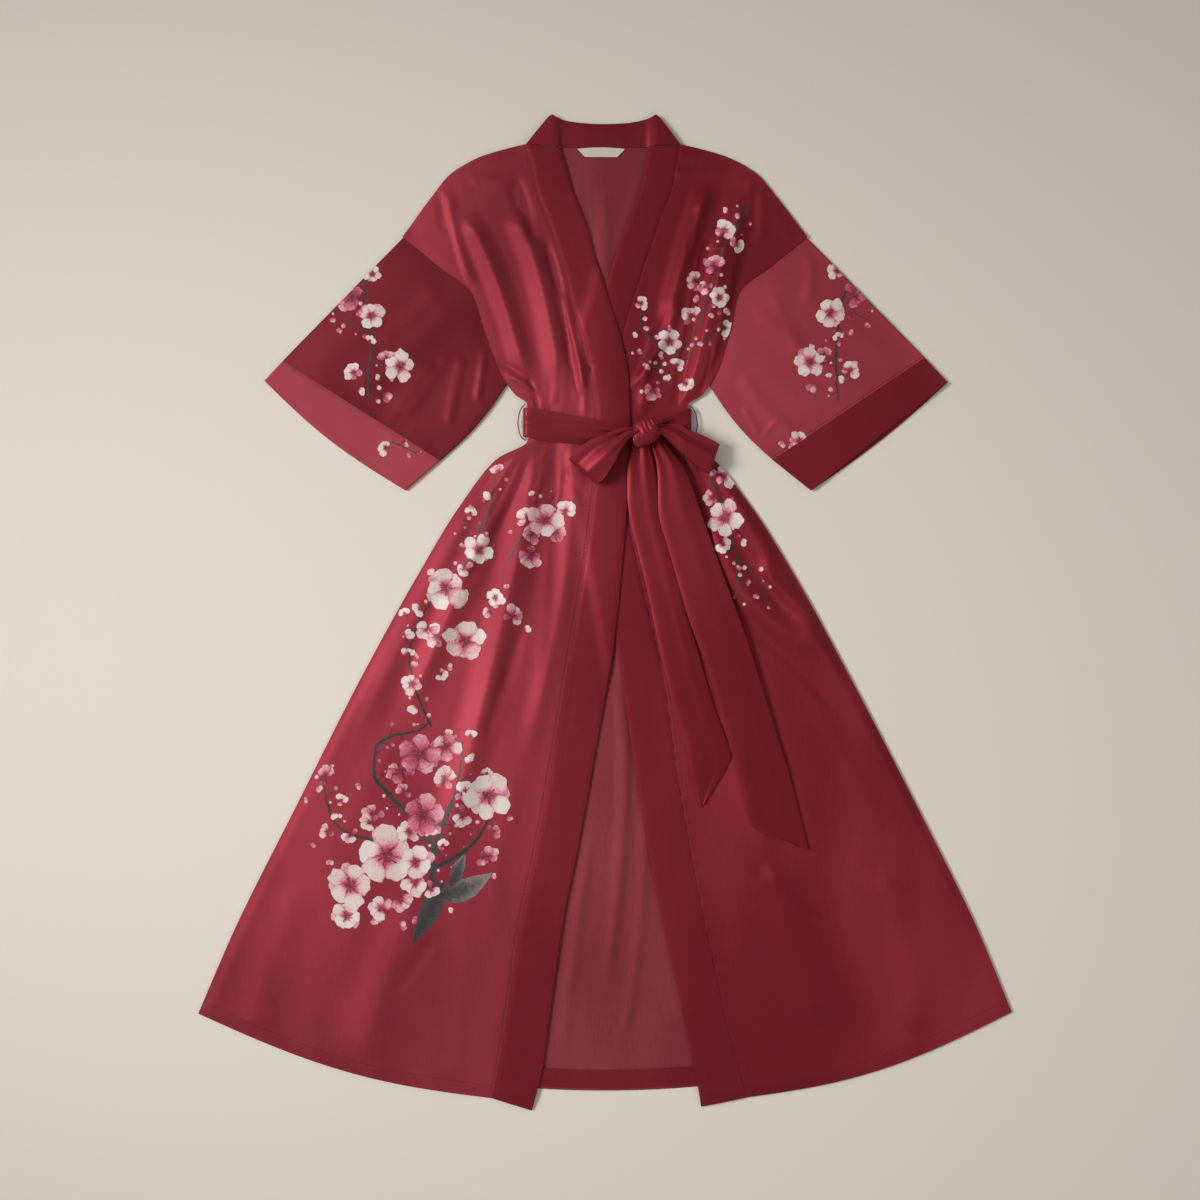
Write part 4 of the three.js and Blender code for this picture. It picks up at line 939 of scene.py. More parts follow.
carrier = dict(radius=0.7, sides=3, steps=10, ply=3.5)
carrierPoints = dict(
    right=[(-103.5, 271.5, 3.2), (-108.6, 266, 4.4), (-112.6, 252, 5), (-112.4, 240, 5), (-108.8, 229, 4.4),
           (-103.5, 224.3, 3.2)],
    left=[(109.6, 269.6, 3.2), (114.6, 265, 4.4), (119.2, 252, 5), (119.2, 239, 5), (115.8, 228.5, 4.4),
          (111, 225, 3.2)])


def twistedThread(name):
    # Crocheted polyester thread: a dull dark cord whose plies wind round it about every 3.5 mm
    material, tree = newMaterial(name)
    place = addNode(tree, "ShaderNodeTexCoord")
    plies = addNode(tree, "ShaderNodeTexWave", {"bands_direction": "DIAGONAL"}, {
        "Vector": place.outputs["Object"], "Scale": 2 * waveTurn / (carrier["ply"] * mm),
        "Distortion": 0.4})
    shades = addNode(tree, "ShaderNodeValToRGB", None, {"Fac": plies.outputs["Fac"]})
    shades.color_ramp.elements[0].color = linear("#4c1219")
    shades.color_ramp.elements[1].color = linear("#76232d")
    bump = addNode(tree, "ShaderNodeBump", None, {
        "Height": plies.outputs["Fac"], "Strength": 0.6, "Distance": 0.3 * mm})
    surface = addNode(tree, "ShaderNodeBsdfPrincipled", None, {
        "Base Color": shades.outputs["Color"], "Roughness": 0.7, "IOR": 1.5,
        "Normal": bump.outputs["Normal"]})
    addNode(tree, "ShaderNodeOutputMaterial", None, {"Surface": surface.outputs["BSDF"]})
    return material


def makeCarrier(name, points, material):
    curve = bpy.data.curves.new(name, "CURVE")
    curve.dimensions = "3D"
    curve.bevel_depth = carrier["radius"] * mm
    curve.bevel_resolution = carrier["sides"]
    curve.use_fill_caps = True
    curve.resolution_u = carrier["steps"]
    spline = curve.splines.new("BEZIER")
    spline.bezier_points.add(len(points) - 1)
    for knob, point in zip(spline.bezier_points, points):
        knob.co = Vector(point) * mm
        knob.handle_left_type = knob.handle_right_type = "AUTO"
    holder = bpy.data.objects.new(name, curve)
    bpy.context.scene.collection.objects.link(holder)
    graph = bpy.context.evaluated_depsgraph_get()
    mesh = bpy.data.meshes.new_from_object(holder.evaluated_get(graph))
    bpy.data.objects.remove(holder)
    mesh.materials.clear()
    mesh.materials.append(material)
    for polygon in mesh.polygons:
        polygon.use_smooth = True
    made = bpy.data.objects.new(name, mesh)
    bpy.context.scene.collection.objects.link(made)
    return made


thread = twistedThread("carrier_thread")
carrierRight = makeCarrier("carrier_right_thread", carrierPoints["right"], thread)
carrierLeft = makeCarrier("carrier_left_thread", carrierPoints["left"], thread)
print("cloths and threads are made")


# The printed blossom sprays and the sewing, laid on the finished cloths

inkPattern = dict(spot=2.38, spotShare=0.72, stroke=7.69, strokeShare=0.28)


def printedInk(name, stops, roughness):
    # Pigment print on satin: it lies in the weave, so it takes the cloth's folds, but it is drier
    # than the bare satin. The ink is blotted in spots of about 2.4 mm and in strokes of about 8 mm,
    # which show as a soft mottle.
    material, tree = newMaterial(name)
    petal = addNode(tree, "ShaderNodeUVMap", {"uv_map": "petal"})
    parts = addNode(tree, "ShaderNodeSeparateXYZ", None, {"Vector": petal.outputs["UV"]})
    place = addNode(tree, "ShaderNodeTexCoord")
    mottle = addNode(tree, "ShaderNodeTexNoise", None, {
        "Vector": place.outputs["Object"], "Scale": 1 / (inkPattern["spot"] * mm), "Detail": 4.0,
        "Roughness": 0.75})
    strokes = addNode(tree, "ShaderNodeTexNoise", None, {
        "Vector": place.outputs["Object"], "Scale": 1 / (inkPattern["stroke"] * mm), "Detail": 2.0,
        "Roughness": 0.5})
    blot = addNode(tree, "ShaderNodeMath", {"operation": "MULTIPLY_ADD"}, {
        0: mottle.outputs["Fac"], 1: inkPattern["spotShare"], 2: parts.outputs["X"]})
    blend = addNode(tree, "ShaderNodeMath", {"operation": "MULTIPLY_ADD"}, {
        0: strokes.outputs["Fac"], 1: inkPattern["strokeShare"], 2: blot.outputs["Value"]})
    shades = addNode(tree, "ShaderNodeValToRGB", None, {"Fac": blend.outputs["Value"]})
    ramp = shades.color_ramp.elements
    for stop, (position, colour) in zip(ramp, (stops[0], stops[-1])):
        stop.position, stop.color = position, linear(colour)
    for position, colour in stops[1:-1]:
        ramp.new(position).color = linear(colour)
    bump = addNode(tree, "ShaderNodeBump", None, {
        "Height": mottle.outputs["Fac"], "Strength": 0.5, "Distance": 0.15 * mm})
    surface = addNode(tree, "ShaderNodeBsdfPrincipled", None, {
        "Base Color": shades.outputs["Color"], "Roughness": roughness, "IOR": 1.5,
        "Normal": bump.outputs["Normal"]})
    addNode(tree, "ShaderNodeOutputMaterial", None, {"Surface": surface.outputs["BSDF"]})
    return material


petalInk = [(0.04, "#7c1f37"), (0.24, "#bd4a68"), (0.44, "#d98296"), (0.62, "#e2c4c2"), (0.86, "#e9e0d9")]
twigInk = [(0.1, "#2c2829"), (0.5, "#474243"), (0.95, "#8a837f")]
stamenInk = [(0.1, "#5d1728"), (0.9, "#a23c52")]
inks = [printedInk("petal_ink", petalInk, 0.55), printedInk("twig_ink", twigInk, 0.55),
        printedInk("stamen_ink", stamenInk, 0.5)]
inkOf = dict(petal=0, twig=1, stamen=2)
inkMiddle = 0.5  # what mottle and strokes add to a tone on average
drop = dict(fromZ=300, clothZ=4)


def onCloth(surface, x, y, lift):  # straight down onto the cloth, or to its edge where it is past it
    hit = surface.ray_cast(Vector((x, y, drop["fromZ"])) * mm, Vector((0, 0, -1)))[0]
    if hit is None:
        hit = surface.find_nearest(Vector((x, y, drop["clothZ"])) * mm)[0]
    return hit + Vector((0, 0, lift * mm))


def layOn(name, bm, materials):  # print and stitches face up and belong to the one body
    for face in bm.faces:
        if face.normal.z < 0:
            face.normal_flip()
    made = newObject(name, bm, materials)
    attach(made, "root")
    print(f"{name}: {len(made.data.polygons)} faces")


def patch(bm, surface, across, down, place, ink, lift):  # place(a, b) gives x, y and the ink's tone
    made = bmesh.ops.create_grid(bm, x_segments=across, y_segments=down, size=1)
    petal = bm.loops.layers.uv["petal"]
    tones = {}
    for vert in made["verts"]:
        x, y, tones[vert] = place(vert.co.x, vert.co.y)
        vert.co = onCloth(surface, x, y, lift)
    for face in {face for vert in made["verts"] for face in vert.link_faces}:
        face.material_index = ink
        for loop in face.loops:
            loop[petal].uv = (tones[loop.vert], 0)


petalShape = dict(coarse=3, fine=6, fineFrom=7, middle=0.54, reach=0.46, ragged=0.2, notch=0.05,
                  notches=7, narrow=0.84, widen=0.16, rimFrom=0.78, rimTone=0.2)
petalTone = dict(whiteHeart=0.08, whiteRise=0.78, whiteFrom=0.05, whiteRamp=0.5, pinkHeart=0.06,
                 pinkRise=0.36)


def drawPetal(bm, surface, x, y, angle, length, width, pink, seed, lift):
    cells = petalShape["coarse"] if length < petalShape["fineFrom"] else petalShape["fine"]
    rimWidth = 1 - petalShape["rimFrom"]

    def place(a, b):
        dx, dy = a * math.sqrt(1 - b * b / 2), b * math.sqrt(1 - a * a / 2)  # a square made round
        far = 1 + petalShape["ragged"] * wander(dx * 1.6, dy * 1.6, seed)
        far += petalShape["notch"] * math.sin(petalShape["notches"] * math.atan2(dy, dx) + seed)
        reach = petalShape["middle"] + petalShape["reach"] * dx * far
        along = reach * length
        side = dy * far * width * (petalShape["narrow"] + petalShape["widen"] * dx)
        rim = smooth((math.hypot(dx, dy) - petalShape["rimFrom"]) / rimWidth) * abs(dy)
        paler = smooth((reach - petalTone["whiteFrom"]) / petalTone["whiteRamp"])
        white = petalTone["whiteHeart"] + petalTone["whiteRise"] * paler
        rose = petalTone["pinkHeart"] + petalTone["pinkRise"] * reach * reach
        tone = mix(white, rose, pink) - petalShape["rimTone"] * rim - inkMiddle
        return (x + along * math.cos(angle) - side * math.sin(angle),
                y + along * math.sin(angle) + side * math.cos(angle), tone)
    patch(bm, surface, cells, cells, place, inkOf["petal"], lift)


twig = dict(cell=3.2, stray=1.1, straySize=9, rough=0.5, roughAt=3, roughSize=6, leafRough=0.1,
            edgePale=0.3, tone=0.4, lift=0.2)


def drawTwig(bm, surface, points, wide, narrow, seed, lift=twig["lift"], belly=0.0, paler=0.0):
    spots = [Vector(point) for point in points]
    steps = [0.0]
    for before, after in zip(spots, spots[1:]):
        steps.append(steps[-1] + (after - before).length)
    curveX = curveThrough(steps, [spot.x for spot in spots])
    curveY = curveThrough(steps, [spot.y for spot in spots])
    total = steps[-1]
    rough = twig["leafRough"] if belly else min(twig["rough"], twig["roughAt"] / wide)

    def place(a, b):
        at = (b + 1) / 2 * total
        ahead = Vector((curveX(min(total, at + 1)) - curveX(max(0, at - 1)),
                        curveY(min(total, at + 1)) - curveY(max(0, at - 1)))).normalized()
        width = mix(wide, narrow, at / total) * (0.9 + rough * wander(at / twig["roughSize"], a, seed + 2))
        width *= 1 + belly * dome(min(1, at / total * 1.04))
        side = a * width / 2 + twig["stray"] * wander(at / twig["straySize"], 0, seed)
        tone = twig["edgePale"] * abs(a) - twig["tone"] + paler * at / total
        return curveX(at) - ahead.y * side, curveY(at) + ahead.x * side, tone
    patch(bm, surface, 6 if belly else 2, max(3, int(total / twig["cell"])), place, inkOf["twig"], lift)
    return curveX, curveY, total


blossom = dict(lift=0.34, liftStep=0.05, lifts=7, fan=0.8, backFrom=12, backLength=(0.6, 1.05),
               backWidth=(0.34, 0.44), backPink=(0.3, 0.8), sway=0.16, length=(0.8, 1.12),
               width=(0.44, 0.54), pink=(-0.2, 0.25), heart=(0.1, 0.2, 0.09), stamens=8,
               stamenReach=(0.16, 0.42), stamenWidth=0.03, stamenTone=-0.2, thinnest=0.7, knobFrom=0.75,
               knob=1.6, stalk=0.6, stamenSway=(-0.3, 0.3), stamenFan=(-0.7, 0.7),
               backDrop=0.06, petalStep=0.02, heartLift=0.14, stamenLift=0.16)
shapeSeeds = (0, 50)


def drawStamen(bm, surface, x, y, angle, reach, width, lift):
    tip = (x + reach * math.cos(angle), y + reach * math.sin(angle))

    def place(a, b):
        share = (b + 1) / 2
        half = a * width * blossom["stalk" if share < blossom["knobFrom"] else "knob"] / 2
        return (mix(x, tip[0], share) - half * math.sin(angle),
                mix(y, tip[1], share) + half * math.cos(angle), blossom["stamenTone"])
    patch(bm, surface, 1, 4, place, inkOf["stamen"], lift)


def drawBlossom(bm, surface, x, y, size, turn, petals, pink, draw, order):
    lift = blossom["lift"] + blossom["liftStep"] * (order % blossom["lifts"])
    whole = petals >= 5
    spread = math.tau / 5 if whole else blossom["fan"]
    heading = math.radians(turn)
    for i in range(3 if size > blossom["backFrom"] else 1):  # pinker ones behind, seen between the others
        angle = heading + (draw.randrange(5) + 0.5) * spread
        drawPetal(bm, surface, x, y, angle, size * draw.uniform(*blossom["backLength"]),
                  size * draw.uniform(*blossom["backWidth"]),
                  min(1, pink + draw.uniform(*blossom["backPink"])), draw.uniform(*shapeSeeds),
                  lift - blossom["backDrop"])
    for i in range(petals):
        angle = heading + (i if whole else i - (petals - 1) / 2) * spread
        angle += draw.uniform(-blossom["sway"], blossom["sway"])
        drawPetal(bm, surface, x, y, angle, size * draw.uniform(*blossom["length"]),
                  size * draw.uniform(*blossom["width"]),
                  min(1, max(0, pink + draw.uniform(*blossom["pink"]))), draw.uniform(*shapeSeeds),
                  lift + blossom["petalStep"] * i)
    behind, length, width = [size * share for share in blossom["heart"]]
    drawPetal(bm, surface, x - behind * math.cos(heading), y - behind * math.sin(heading), heading,
              length, width, 1, draw.uniform(*shapeSeeds), lift + blossom["heartLift"])
    stamens = blossom["stamens"]
    for i in range(stamens if whole else stamens // 2):
        if whole:
            angle = heading + (math.tau * i / stamens + draw.uniform(*blossom["stamenSway"]))
        else:
            angle = heading + draw.uniform(*blossom["stamenFan"])
        drawStamen(bm, surface, x, y, angle, size * draw.uniform(*blossom["stamenReach"]),
                   max(blossom["thinnest"], size * blossom["stamenWidth"]), lift + blossom["stamenLift"])


spray = dict(at=(0.2, 0.8), lean=(0.5, 1.3), ahead=2, reach=(5, 15), thinner=0.8, thinnest=1.1, tip=0.8,
             bud=(2.2, 4.6), budLength=1.7, budWidth=0.8, budPink=(0.1, 1), budLift=0.3,
             budTurn=(0, 6.28), leafWide=5, leafNarrow=4, leafLift=0.24, leafStep=0.04)
budPair = [(0, 2.2, 0.86, 1, 0.5), (0.5, 1.7, 0.7, 0.6, 0.54)]  # turn, length, width, pink and lift


def drawSideTwigs(bm, surface, draw, curveX, curveY, total, narrow, seed, sprinkle):
    count = int(total / sprinkle)
    for k in range(count):  # each is short and ends in a bud
        at = total * (k + draw.uniform(*spray["at"])) / count
        lean = draw.uniform(*spray["lean"]) * (1 if draw.random() < 0.5 else -1)
        x, y, onward = curveX(at), curveY(at), min(total, at + spray["ahead"])
        run = math.atan2(curveY(onward) - y, curveX(onward) - x) + lean
        reach = draw.uniform(*spray["reach"])
        tip = (x + reach * math.cos(run), y + reach * math.sin(run))
        wide = max(spray["thinnest"], narrow * spray["thinner"])
        drawTwig(bm, surface, [(x, y), tip], wide, spray["tip"], seed + k)
        size = draw.uniform(*spray["bud"])
        drawPetal(bm, surface, *tip, run, size * spray["budLength"], size * spray["budWidth"],
                  draw.uniform(*spray["budPink"]), draw.uniform(*shapeSeeds), spray["budLift"])


def makePrint(name, cloth, seed, sprinkle, twigs, blossoms, buds, leaves=()):
    # sprinkle: mm of twig to each side twig; twigs: thick and thin end, route; blossoms: x, y, size,
    # turn, petals, pink; buds: x, y, size, pink; leaves: belly, how much paler at the end, route
    draw = random.Random(seed)
    surface = surfaces[cloth]
    bm = bmesh.new()
    bm.loops.layers.uv.new("petal")
    for i, (wide, narrow, points) in enumerate(twigs):
        curves = drawTwig(bm, surface, points, wide, narrow, seed + i)
        drawSideTwigs(bm, surface, draw, *curves, narrow, seed, sprinkle)
    for i, (belly, paler, points) in enumerate(leaves):  # broad brushed leaves at the branch's foot
        drawTwig(bm, surface, points, spray["leafWide"], spray["leafNarrow"], seed + i,
                 spray["leafLift"] + spray["leafStep"] * i, belly, paler)
    for order, (x, y, size, turn, petals, pink) in enumerate(blossoms):
        drawBlossom(bm, surface, x, y, size, turn, petals, pink, draw, order)
    for x, y, size, pink in buds:
        angle = draw.uniform(*spray["budTurn"])
        for turn, length, width, share, lift in budPair:
            drawPetal(bm, surface, x, y, angle + turn, size * length, size * width, pink * share,
                      draw.uniform(*shapeSeeds), lift)
    bmesh.ops.recalc_face_normals(bm, faces=bm.faces)
    layOn(name, bm, inks)


makePrint(
    "print_front_right", "front_right_cloth", 11, 16,
    [(11, 7, [(-222, -366), (-224, -334), (-216, -288), (-198, -246)]),
     (7, 2.4, [(-228, -334), (-196, -318), (-168, -296), (-150, -262), (-142, -232)]),
     (8, 3, [(-222, -310), (-244, -272), (-276, -240), (-300, -208), (-298, -176), (-272, -158),
             (-246, -154), (-228, -142)]),
     (4, 1.4, [(-268, -300), (-312, -292), (-346, -278), (-362, -244), (-368, -198)]),
     (4, 1.6, [(-198, -246), (-188, -206), (-184, -166)]),
     (3.4, 1.4, [(-226, -148), (-244, -104), (-254, -56), (-240, -10), (-214, 30), (-188, 60)]),
     (3, 1.2, [(-196, 44), (-168, 84), (-150, 130), (-142, 182)]),
     (2.6, 1.0, [(-128, 66), (-108, 96), (-84, 122), (-62, 160)]),
     (2, 1.0, [(-158, 118), (-172, 92), (-186, 128)])],
    [(-284, -316, 39, 20, 5, 0.22), (-330, -354, 30, 70, 5, 0.2), (-246, -324, 25, 130, 5, 0.1),
     (-236, -262, 27, 10, 5, 0.7), (-152, -238, 30, 45, 5, 0.08), (-240, -184, 27, 80, 5, 0.75),
     (-266, -206, 19, 200, 3, 0.7), (-208, -216, 17, 100, 4, 0.35), (-184, -262, 15, 250, 3, 0.25),
     (-336, -394, 20, 0, 5, 0.06), (-266, -372, 16, 300, 4, 0.55), (-300, -262, 16, 160, 3, 0.4),
     (-206, 32, 28, 30, 5, 0.2), (-182, -36, 28, 10, 5, 0.25), (-218, -30, 17, 170, 4, 0.4),
     (-164, 82, 20, 60, 5, 0.06), (-238, 6, 12, 210, 3, 0.3), (-78, 120, 24, 0, 5, 0.35),
     (-52, 132, 14, 60, 4, 0.08), (-96, 74, 17, 240, 4, 0.6), (-250, -92, 15, 180, 4, 0.12),
     (-120, -4, 15, 30, 4, 0.55), (-364, -212, 14, 90, 3, 0.6), (-138, 182, 11, 110, 3, 0.3),
     (-206, -174, 21, 140, 5, 0.6), (-180, -232, 15, 95, 3, 0.12), (-304, -272, 13, 200, 3, 0.25),
     (-330, -288, 12, 240, 3, 0.35), (-360, -284, 12, 170, 3, 0.4), (-344, -244, 10, 60, 3, 0.15),
     (-246, -350, 19, 260, 4, 0.08), (-226, -358, 12, 300, 3, 0.12), (-290, -384, 18, 190, 4, 0.12),
     (-152, -316, 14, 40, 3, 0.65), (-146, -284, 11, 10, 3, 0.85), (-224, -276, 15, 210, 4, 0.2),
     (-254, -284, 15, 150, 4, 0.15), (-210, -302, 10, 90, 3, 0.1), (-174, -160, 10, 80, 3, 0.1),
     (-230, -22, 15, 200, 3, 0.12), (-142, 20, 13, 90, 5, 0.05), (-150, 2, 9, 200, 3, 0.4),
     (-100, 124, 15, 150, 3, 0.15), (-64, 106, 14, 320, 4, 0.75), (-94, 104, 14, 220, 4, 0.6),
     (-182, 58, 12, 230, 3, 0.3), (-256, -54, 10, 80, 3, 0.08), (-214, -78, 11, 300, 3, 0.1),
     (-260, -2, 10, 100, 3, 0.15), (-190, 20, 15, 330, 4, 0.3), (-176, 128, 10, 60, 3, 0.15),
     (-154, -210, 10, 70, 3, 0.2), (-262, -232, 12, 120, 3, 0.6)],
    [(-372, -222, 5, 0.5), (-350, -258, 5, 0.2), (-384, -246, 4, 0.8), (-374, -300, 4, 0.9),
     (-268, -402, 6, 0.8), (-244, -404, 5, 1), (-156, -318, 6, 0.9), (-148, -338, 4, 0.6),
     (-122, -262, 4, 0.7), (-196, -388, 4, 0.2), (-262, -28, 7, 0.1), (-252, -70, 5, 0.7),
     (-242, -122, 7, 0.15), (-206, -66, 5, 0.6), (-140, 12, 6, 0.1), (-130, 30, 4, 0.8),
     (-112, 120, 5, 0.5), (-146, 150, 6, 0.1), (-170, 140, 4, 0.7), (-158, 104, 4, 0.9),
     (-314, -226, 5, 0.9), (-352, -320, 5, 0.7), (-176, -196, 6, 0.15), (-208, -158, 5, 0.5),
     (-106, -20, 5, 0.2), (-296, -396, 5, 0.6), (-226, 60, 5, 0.3), (-190, 86, 4, 0.8), (-96, 150, 4, 0.2)],
    [(5.6, 0.15, [(-210, -346), (-224, -380), (-250, -428)]),
     (5.8, 0.75, [(-222, -368), (-190, -362), (-146, -338)]),
     (3.2, 0.6, [(-200, -354), (-192, -336), (-182, -314)])])
makePrint(
    "print_front_left", "front_left_cloth", 13, 13,
    [(3, 1.4, [(190, 532), (170, 496), (148, 462), (138, 420), (120, 372), (96, 338), (66, 318),
             (46, 338)]), (2.4, 1.0, [(152, 374), (128, 352), (104, 330), (80, 304), (62, 284)]),
     (2, 1.0, [(52, 412), (46, 380), (60, 352), (92, 332)]), (2, 1, [(138, 420), (156, 400), (160, 372)]),
     (3, 1.0, [(128, 192), (148, 152), (160, 112), (174, 70), (196, 40), (216, 16)]),
     (2, 1.0, [(174, 70), (170, 44), (184, 16)])],
    [(154, 496, 15, 30, 4, 0.06), (170, 478, 13, 330, 3, 0.04), (140, 452, 14, 80, 4, 0.5),
     (132, 424, 12, 200, 3, 0.6), (148, 408, 14, 10, 5, 0.08), (154, 370, 12, 0, 4, 0.1),
     (84, 352, 16, 60, 5, 0.15), (112, 386, 13, 120, 4, 0.3), (62, 288, 13, 210, 4, 0.65),
     (92, 322, 11, 40, 4, 0.1), (118, 432, 13, 150, 4, 0.45), (104, 298, 12, 300, 4, 0.2),
     (46, 402, 10, 20, 4, 0.1), (154, 178, 17, 20, 4, 0.1), (156, 124, 24, 60, 5, 0.18),
     (140, 150, 12, 180, 3, 0.5), (152, 90, 12, 300, 4, 0.12)],
    [(34, 362, 4, 0.3), (40, 340, 4, 0.8), (58, 372, 4, 0.6), (70, 340, 4, 0.2), (128, 350, 4, 0.7),
     (164, 392, 5, 0.2), (120, 402, 5, 0.8), (142, 386, 4, 0.5), (78, 300, 5, 0.2), (88, 366, 4, 0.9),
     (176, 512, 4, 0.7), (160, 520, 4, 0.4), (168, 58, 4, 0.8), (184, 44, 4, 0.9), (200, 24, 4, 0.7),
     (176, 96, 5, 0.2), (138, 176, 5, 0.7), (50, 318, 4, 0.5)])
makePrint(
    "print_sleeve_right", "sleeve_right_cloth", 14, 14,
    [(3.4, 2.2, [(-316, 436), (-308, 400), (-303, 366), (-306, 326), (-308, 280)]),
     (1.8, 0.9, [(-308, 366), (-330, 378), (-348, 392)]), (2, 1, [(-305, 334), (-290, 322), (-274, 318)])],
    [(-302, 440, 12, 60, 5, 0.1), (-330, 408, 19, 200, 4, 0.8), (-304, 386, 18, 20, 5, 0.15),
     (-266, 320, 20, 10, 5, 0.1), (-326, 312, 13, 150, 4, 0.1), (-284, 330, 12, 100, 3, 0.6),
     (-306, 352, 8, 60, 3, 0.1)],
    [(-284, 288, 7, 0.95), (-320, 292, 5, 0.2), (-350, 384, 4, 0.7), (-340, 368, 4, 0.8),
     (-270, 342, 4, 0.3), (-292, 302, 4, 0.4), (-318, 396, 5, 0.9)])
makePrint(
    "print_sleeve_left", "sleeve_left_cloth", 15, 14,
    [(3.4, 2, [(314, 424), (306, 394), (302, 362), (300, 324), (303, 276)]),
     (1.8, 0.9, [(314, 404), (330, 386), (344, 380)]), (2, 1, [(301, 336), (288, 326), (270, 322)])],
    [(302, 444, 13, 140, 4, 0.08), (324, 414, 17, 330, 4, 0.8), (292, 390, 19, 120, 5, 0.12),
     (266, 326, 20, 170, 5, 0.1), (318, 316, 14, 30, 4, 0.1), (284, 334, 11, 80, 3, 0.55),
     (304, 356, 9, 110, 3, 0.1), (252, 224, 13, 60, 4, 0.08)],
    [(276, 296, 7, 0.85), (312, 300, 5, 0.15), (336, 372, 4, 0.8), (322, 360, 4, 0.7), (272, 350, 4, 0.3),
     (288, 304, 4, 0.4), (236, 220, 5, 0.7), (244, 212, 4, 0.8)])
makePrint(
    "print_cuff_right", "cuff_right_cloth", 16, 14,
    [(2, 1, [(-276, 222), (-258, 214), (-244, 206)])],
    [(-284, 214, 11, 160, 4, 0.06)],
    [(-262, 220, 3.5, 0.5), (-250, 204, 3.5, 0.8)])


stitch = dict(pitch=4.6, start=0.1, end=0.75, halfWidth=0.42, lift=0.16, tone=0.4, fuzz=1.43)


def rowOfStitches(bm, surface, point, length):  # dashes of 3 mm with 1.6 mm between them
    count = int(length / stitch["pitch"])
    for i in range(count):
        x, y = point((i + stitch["start"]) / count)
        endX, endY = point((i + stitch["end"]) / count)
        aside = Vector((y - endY, endX - x)).normalized() * stitch["halfWidth"]

        def place(a, b):
            share = (b + 1) / 2
            return mix(x, endX, share) + aside.x * a, mix(y, endY, share) + aside.y * a, stitch["tone"]
        patch(bm, surface, 1, 2, place, 0, stitch["lift"])


def sewingThread(name):
    # Spun polyester sewing thread without the satin's gloss. It is darker than the satin, partly as the
    # thread's own colour and partly as painted shade of the sunken stitch line. Its fuzz is drawn as patches
    # of 1.4 mm, because the fibres are too fine to show.
    material, tree = newMaterial(name)
    place = addNode(tree, "ShaderNodeTexCoord")
    fuzz = addNode(tree, "ShaderNodeTexNoise", None, {
        "Vector": place.outputs["Object"], "Scale": 1 / (stitch["fuzz"] * mm)})
    shades = addNode(tree, "ShaderNodeValToRGB", None, {"Fac": fuzz.outputs["Fac"]})
    shades.color_ramp.elements[0].color = linear("#4a1018")
    shades.color_ramp.elements[1].color = linear("#671b25")
    surface = addNode(tree, "ShaderNodeBsdfPrincipled", None, {
        "Base Color": shades.outputs["Color"], "Roughness": 0.75, "IOR": 1.5})
    addNode(tree, "ShaderNodeOutputMaterial", None, {"Surface": surface.outputs["BSDF"]})
    return material


seamThreadAndShade = sewingThread("sewing_thread_and_seam_shade")
sewing = dict(hemRise=17, sideInset=6, seamInset=4.5, cuffInset=3, hemInset=3, hemFrom=-118, hemTo=146)


def makeStitches(name, cloth, rows):
    bm = bmesh.new()
    bm.loops.layers.uv.new("petal")
    for point, length in rows:
        rowOfStitches(bm, surfaces[cloth], point, length)
    layOn(name, bm, [seamThreadAndShade])


def hemLine(rows, bandAt, side):  # follows the front's hem at the height of its turn-up
    outerX, outerY, seamY = rows[-1][:3]
    bowed = rows[-1][4]
    seamX = bandAt["seamX"](seamY)
    return lambda t: (mix(outerX, seamX, t) + side * sewing["sideInset"] * (1 - t),
                      mix(outerY, seamY, t) - bowed * dome(t) + sewing["hemRise"])


def seamLine(bandAt, side, top, foot):
    return lambda t: (bandAt["seamX"](mix(top, foot, t)) - side * sewing["seamInset"], mix(top, foot, t))


def cuffLine(part):
    def point(t):
        seam = part["seam"][0].lerp(part["seam"][1], t)
        mouth = part["mouth"][0].lerp(part["mouth"][1], t)
        return seam - (mouth - seam).normalized() * sewing["cuffInset"]
    return point


def backHemLine(t):
    x = mix(sewing["hemFrom"], sewing["hemTo"], t)
    return x, backHemY(x) + backHem["inset"] + backHem["depth"] - sewing["hemInset"]


makeStitches("stitches_front_right", "front_right_cloth", [
    (hemLine(rightFrontRows, rightBandAt, 1), 395), (seamLine(rightBandAt, 1, 590, -610), 1230)])
makeStitches("stitches_front_left", "front_left_cloth", [
    (hemLine(leftFrontRows, leftBandAt, -1), 360), (seamLine(leftBandAt, -1, 590, -612), 1230)])
makeStitches("stitches_sleeve_right", "sleeve_right_cloth", [(cuffLine(rightSleeve), 242)])
makeStitches("stitches_sleeve_left", "sleeve_left_cloth", [(cuffLine(leftSleeve), 238)])
makeStitches("stitches_back_hem", "back_hem_fold", [(backHemLine, 270)])
print("print and sewing are laid on")


# What each piece stands for, and the flat size that it was cut to

